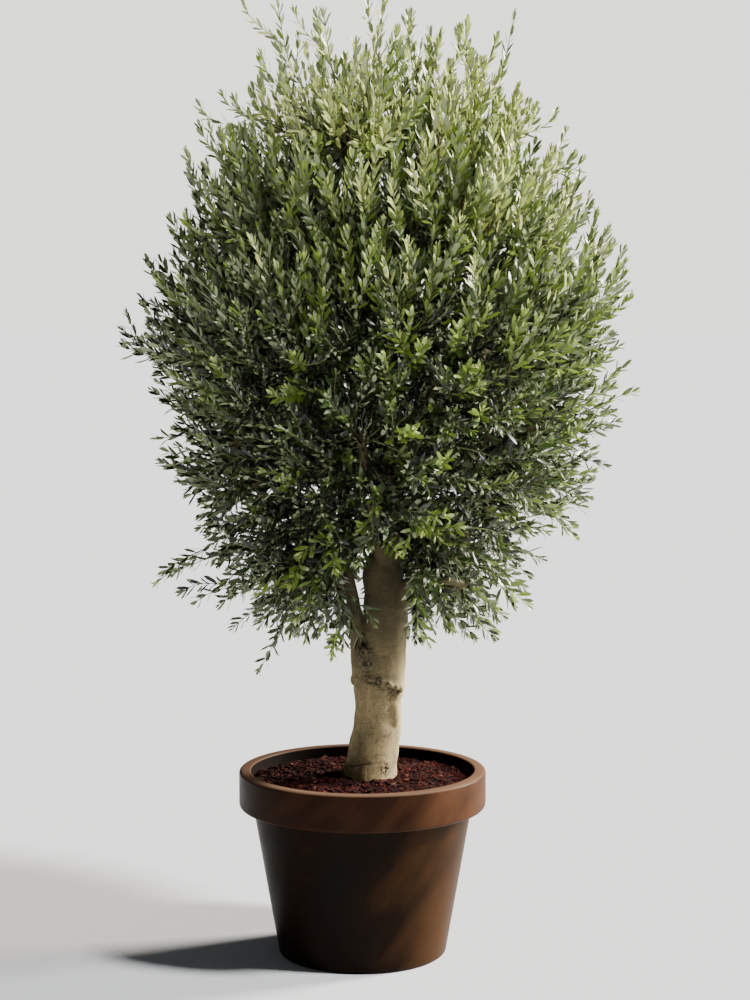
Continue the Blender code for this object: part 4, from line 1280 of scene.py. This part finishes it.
class BarkField:
    """How high the bark stands at a point, and how deep in a crack it lies, measured along its limb."""

    def __init__(self, limbs):
        self.samples = []
        for number, limb in enumerate(limbs):
            run = 0.0
            for i, (point, (side, across)) in enumerate(zip(limb.path, carried_frames(limb.path))):
                run += (point - limb.path[i - 1]).length if i else 0
                self.samples.append((point, side, across, run + 3 * number, limb.radii[i]))
        self.tree = kdtree.KDTree(len(self.samples))
        for i, sample in enumerate(self.samples):
            self.tree.insert(sample[0], i)
        self.tree.balance()

    def at(self, place):
        """(height of the bark, hollowness from 0 to 1)"""
        _, index, _ = self.tree.find(place)
        point, side, across, run, radius = self.samples[index]
        offset = place - point
        flow = Vector((offset.dot(side), offset.dot(across), run + offset.dot(side.cross(across))))

        def in_grain(size):
            return Vector((flow.x / size[0], flow.y / size[0], flow.z / size[1]))

        strength = min(1.0, radius / RELIEF_RADIUS)
        ridges = noise.noise(in_grain(RIDGE_GRAIN))
        swells = noise.noise(place / SWELL_SIZE)
        fine = noise.noise(in_grain(FINE_GRAIN))
        seam = abs(noise.noise(in_grain(CRACK_GRAIN) + Vector((7, 3, 1))))
        crack = max(0.0, 1 - seam / CRACK_WIDTH) ** 2
        rough = max(max(0.0, 1 - (place - Vector(c)).length / size) for c, size in CRUSTS)
        (lumps, lumpy), (crumbs, crumbly) = CRUST_GRAIN
        crust = rough * (abs(noise.noise(place / lumps)) * lumpy + crumbly * noise.noise(place / crumbs))
        lip, groove = self.scar(place)
        ring = self.ring_crack(place)
        height = strength * (RIDGES * ridges + SWELLS * swells + FINE * fine - CRACKS * crack)
        height += CRUST_HEIGHT * crust + SCAR_LIP * lip - SCAR_DEPTH * groove
        height -= RING_CRACK_DEPTH * ring
        hollow = strength * CRACK_DIRT * crack + RING_DIRT * ring
        hollow += SCAR_DIRT * groove * (SCAR_SPOTS + noise.noise(place / SCAR_SPOT_SIZE))
        hollow += CRUST_DIRT * rough * max(0.0, CRUST_SPOTS + noise.noise(place / CRUST_SPOT_SIZE))
        hollow += VALLEY_DIRT * max(0.0, -ridges - VALLEY_DEPTH)
        return height, min(hollow, 1.0)

    def ring_crack(self, place):
        """How deep in one of the cracks round the foot a point lies, from 0 to 1."""
        if place.z >= RING_CRACKS_TOP:
            return 0.0
        deepest = 0.0
        azimuth = math.atan2(place.y, place.x - TRUNK_RINGS[2][1]) % math.tau
        for level, dip, middle, reach in RING_CRACKS:
            off = (azimuth - middle) / reach
            height, width = RING_CRACK_WOBBLE
            line = level + dip * off + height * noise.noise(place / width)
            here = math.exp(-(off**2) - ((place.z - line) / RING_CRACK_WIDTH) ** 2)
            deepest = max(deepest, here)
        return deepest

    def scar(self, place):
        """(lip, groove) of the slanting scar across the front of the trunk, each from 0 to 1."""
        start, end = (Vector(p) for p in SCAR)
        along = (end - start).normalized()
        share = (place - start).dot(along) / (end - start).length
        if place.y > 0 or not -SCAR_PAST < share < 1 + SCAR_PAST:
            return 0.0, 0.0
        height, width = SCAR_WOBBLE
        wobble = height * noise.noise(place / width)
        above = (place.z - start.lerp(end, share).z) + wobble
        fade = min(1.0, SCAR_FADE * (share + SCAR_PAST), SCAR_FADE * (1 + SCAR_PAST - share))
        return tuple(math.exp(-(((above - up) / width) ** 2)) * fade for up, width in SCAR_BANDS)


def carve_bark(obj, field):
    """Moves each point of the wood out or in by the bark's height, and stores how hollow it lies."""
    mesh = obj.data
    hollow = []
    moved = []
    for v in mesh.vertices:
        height, depth = field.at(v.co)
        moved.extend(v.co + v.normal * height)
        hollow.append(depth)
    mesh.vertices.foreach_set("co", moved)
    mesh.attributes.new("hollow", "FLOAT", "POINT").data.foreach_set("value", hollow)
    mesh.update()


def make_trunk(trunk, mains, mat):
    """The trunk with its stem and main boughs grown together, and the relief of old bark."""
    tubes = [tube(trunk.path, trunk.radii, TRUNK_SIDES, trunk_flute)]
    tubes += [tube(limb.path, limb.radii, LIMB_SIDES) for limb in mains.values()]
    tubes += [lump(*entry) for entry in LUMPS]
    obj = join_tubes("trunk_bark", tubes, mat)
    fuse = obj.modifiers.new("fuse", "REMESH")
    fuse.mode = "VOXEL"
    fuse.voxel_size = BARK_VOXEL
    smooth = obj.modifiers.new("even", "SMOOTH")
    smooth.factor = 0.5
    smooth.iterations = 6
    apply_modifiers(obj)
    carve_bark(obj, BarkField([trunk, *mains.values()]))
    obj.data.shade_smooth()
    obj.data.materials.clear()
    obj.data.materials.append(mat)
    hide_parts("trunk", *mains)
    return obj


def make_boughs(boughs, mat):
    """The lesser boughs, each a tapering limb set into its parent."""
    obj = join_tubes("bough_bark", [tube(b.path, b.radii, BOUGH_SIDES) for b in boughs], mat)
    carve_bark(obj, BarkField(boughs))
    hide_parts(*[b.name for b in boughs])
    return obj


# --- foliage ---


def make_leaf_shape(name, arch, twist, bend):
    """A lance-shaped leaf 1 long and 1 wide along +Y: a ridged upper side and a flat underside."""

    def place(x, y, z):
        a = twist * y
        bow = 4 * y * (1 - y)
        return x * math.cos(a) + bend * bow, y, z + x * math.sin(a) * 0.3 + arch * bow

    right = [place(half, y, 0) for y, half in LEAF_OUTLINE]
    left = [place(-half, y, 0) for y, half in LEAF_OUTLINE]
    edge = [place(0, 0, 0), *right, place(0, 1, 0), *reversed(left)]
    count = len(edge)
    verts = [*edge, place(0, *LEAF_RIDGE)]
    upper = [(i, (i + 1) % count, count) for i in range(count)]
    under = [(0, 5, 1), (1, 5, 4, 2), (2, 4, 3)]
    mesh = bpy.data.meshes.new(name)
    mesh.from_pydata(verts, [], upper + under)
    mesh.update()
    mesh.shade_smooth()
    mesh.set_sharp_from_angle(angle=math.radians(60))
    flags = mesh.attributes.new("under", "BOOLEAN", "FACE")
    flags.data.foreach_set("value", [False] * len(upper) + [True] * len(under))
    return bpy.data.objects.new(name, mesh)


def leaf_tree(family, uppers, underside):
    """Sets a leaf on each point, turned by its attributes, and deals out the leaf materials by tint."""
    tree, given, result = new_tree("leaf out", {"Shapes": len(LEAF_SHAPES), "Seed": SEED})
    along, face, size, tint, under = (
        add_node(tree, "GeometryNodeInputNamedAttribute", {"Name": name}, data_type=kind)
        for name, kind in LEAF_ATTRIBUTES.items()
    )
    axes = {"Primary Axis": along, "Secondary Axis": face}
    last = add_node(tree, "ShaderNodeMath", {0: given["Shapes"], 1: 1.0}, operation="SUBTRACT")
    pick = {4: 0, 5: last, "Seed": given["Seed"]}
    leaves = {
        "Points": given["Geometry"],
        "Instance": add_node(
            tree, "GeometryNodeCollectionInfo", {"Collection": family, "Separate Children": True}
        ),
        "Pick Instance": True,
        "Instance Index": add_node(tree, "FunctionNodeRandomValue", pick, data_type="INT"),
        "Rotation": add_node(
            tree, "FunctionNodeAxesToRotation", axes, primary_axis="Y", secondary_axis="Z"
        ),
        "Scale": size,
    }
    leaves = add_node(tree, "GeometryNodeInstanceOnPoints", leaves)
    real = add_node(tree, "GeometryNodeRealizeInstances", {"Geometry": leaves})
    dealt = deal_out(tree, real, tint, [(number - 0.5, mat) for number, mat in enumerate(uppers)])
    lower = {"Geometry": dealt, "Selection": under, "Material": underside}
    feed(result, {"Geometry": add_node(tree, "GeometryNodeSetMaterial", lower)})
    return tree


def twig_tree(bark, green):
    """Gives each chain of points its round, tapering wood; the thinnest is still green."""
    tree, given, result = new_tree("grow twigs", {"Sides": TWIG_SIDES, "Green under": GREEN_UNDER})
    thickness = add_node(
        tree, "GeometryNodeInputNamedAttribute", {"Name": "thickness"}, data_type="FLOAT"
    )
    wood = {
        "Curve": add_node(tree, "GeometryNodeMeshToCurve", {"Mesh": given["Geometry"]}),
        "Profile Curve": add_node(
            tree, "GeometryNodeCurvePrimitiveCircle", {"Resolution": given["Sides"], "Radius": 1.0}
        ),
        "Scale": thickness,
        "Fill Caps": True,
    }
    wood = add_node(tree, "GeometryNodeCurveToMesh", wood)
    smooth = add_node(tree, "GeometryNodeSetShadeSmooth", {"Geometry": wood})
    real = add_node(tree, "GeometryNodeRealizeInstances", {"Geometry": smooth})
    barked = add_node(tree, "GeometryNodeSetMaterial", {"Geometry": real, "Material": bark})
    thin = {"A": thickness, "B": given["Green under"]}
    thin = add_node(tree, "FunctionNodeCompare", thin, operation="LESS_THAN")
    greened = {"Geometry": barked, "Selection": thin, "Material": green}
    feed(result, {"Geometry": add_node(tree, "GeometryNodeSetMaterial", greened)})
    return tree


def store(mesh, name, kind, values):
    """Gives each point of a mesh its value of a named attribute."""
    data = mesh.attributes.new(name, kind, "POINT").data
    if kind == "FLOAT_VECTOR":
        data.foreach_set("vector", [c for value in values for c in value])
    else:
        data.foreach_set("value", values)


def make_leaves(name, leaves, tree):
    places, *columns = zip(*leaves)
    obj = add_mesh(name, places, smooth=False)
    for (attribute, kind), values in zip(LEAF_ATTRIBUTES.items(), columns):
        store(obj.data, attribute, kind, values)
    return grow_by_tree(obj, tree)


def make_twigs(name, grown, tree):
    """The twigs of several masses as one piece; a chain starts as thin as it goes on."""
    verts, edges, thickness = [], [], []
    for skeleton, radii in grown:
        for chain in skeleton.chains:
            for i, number in enumerate(chain):
                verts.append(skeleton.points[number])
                thickness.append(radii[chain[1]] if i == 0 else radii[number])
                if i:
                    edges.append((len(verts) - 2, len(verts) - 1))
    obj = add_mesh(name, verts, edges=edges, smooth=False)
    store(obj.data, "thickness", "FLOAT", thickness)
    return grow_by_tree(obj, tree)


def make_foliage(masses, carriers, bark):
    """Twigs and leaves of each level of masses, as two pieces a side."""
    rng = random.Random(SEED)
    tips = {mass.name: [] for mass in masses}
    long_tips = [(Vector(place), 0.0, True) for place in (*LONG_SHOOTS, *FINER_SHOOTS)]
    for tip in (*shoot_tips(masses, rng), *long_tips):
        tips[nearest_mass(tip[0], masses).name].append(tip)
    shapes = [make_leaf_shape(f"leaf_shape_{k}", *shape) for k, shape in enumerate(LEAF_SHAPES)]
    family = shape_family("leaf shapes", shapes)
    uppers = [make_leaf_material(name, colour, 0.30) for _, name, colour in TINTS]
    underside = make_leaf_material("olive leaf underside", "#8b9670", 0.6)
    green = make_leaf_material("green olive shoot", "#7d8250", 0.6)
    leafing, twigging = leaf_tree(family, uppers, underside), twig_tree(bark, green)
    made = []
    for level in LEVELS:
        for side in ("left", "right"):
            here = [m for m in masses if m.level == level and (m.middle.x < AXIS_X) == (side == "left")]
            leaves = []
            grown = [grow_mass(m, masses, carriers[m.name], tips[m.name], leaves, rng) for m in here]
            for piece, slot in (
                (make_twigs(f"twigs_{level}_{side}", grown, twigging), "bark"),
                (make_leaves(f"leaves_{level}_{side}", leaves, leafing), "leaf"),
            ):
                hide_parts(*[mass.name for mass in here])
                made.append(piece)
    drop_family(family)
    return made


# --- stage ---


def make_stage():
    mat, _, _ = new_material("pale studio floor", "#d1d4d8", 0.9, specular=0.0)
    verts = circle(FLOOR_RADIUS, -FLOOR_SUNK, FLOOR_SIDES)
    add_mesh("floor", verts, [tuple(range(FLOOR_SIDES))], [mat], smooth=False)


def make_light():
    """A dim pale room, bright behind the object, a low key from the right and a soft light from above."""
    world = bpy.data.worlds.new("pale studio")
    world.use_nodes = True
    tree = world.node_tree
    room_light = {"Color": linear("#e4e8ee"), "Strength": ROOM_LIGHT}
    backdrop = {"Color": linear("#fffdf9"), "Strength": BACKDROP_LIGHT}
    both = {
        0: add_node(tree, "ShaderNodeLightPath").outputs["Is Camera Ray"],
        1: feed(tree.nodes["Background"], room_light),
        2: add_node(tree, "ShaderNodeBackground", backdrop),
    }
    feed(tree.nodes["World Output"], {"Surface": add_node(tree, "ShaderNodeMixShader", both)})
    bpy.context.scene.world = world
    for name, strength, width, turn, rise, colour in SUNS:
        light = bpy.data.lights.new(name, "SUN")
        light.energy = strength
        light.angle = math.radians(width)
        light.color = linear(colour)[:3]
        turn, rise = math.radians(turn), math.radians(rise)
        way = Vector((math.cos(turn) * math.cos(rise), math.sin(turn) * math.cos(rise), math.sin(rise)))
        add_object(name, light).rotation_euler = (-way).to_track_quat("-Z", "Y").to_euler()


def make_camera():
    """A long lens at head height, a little above the middle of the foliage, looking slightly down."""
    camera = bpy.data.cameras.new("camera")
    camera.sensor_fit = "VERTICAL"
    camera.sensor_height = SENSOR
    camera.lens = LENS
    obj = add_object("camera", camera)
    obj.location = CAMERA_PLACE
    obj.rotation_euler = (math.radians(CAMERA_TILT), 0, 0)
    bpy.context.scene.camera = obj


# --- putting it together ---

make_camera()
make_light()
make_stage()

masses = [Mass(name, azimuth) for name, azimuth, _, _ in MASSES]
trunk = trunk_limb()
mains = main_limbs(masses)
carriers = {mass_name: mains[limb] for limb, _, _, _, mass_name, _, _ in MAIN_LIMBS}
for mass, (_, _, limb, share) in zip(masses, MASSES):
    if mass.name not in carriers:
        carriers[mass.name] = bough_to(mass, mains[limb], share)
boughs = [limb for limb in carriers.values() if limb.name not in mains]

bark = make_bark()
wood = [make_trunk(trunk, mains, bark), make_boughs(boughs, bark)]
pot = make_pot()
mulch = make_mulch()
foliage = make_foliage(masses, carriers, bark)
for piece in [*wood, pot, *mulch, *foliage]:
    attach(piece, "root")
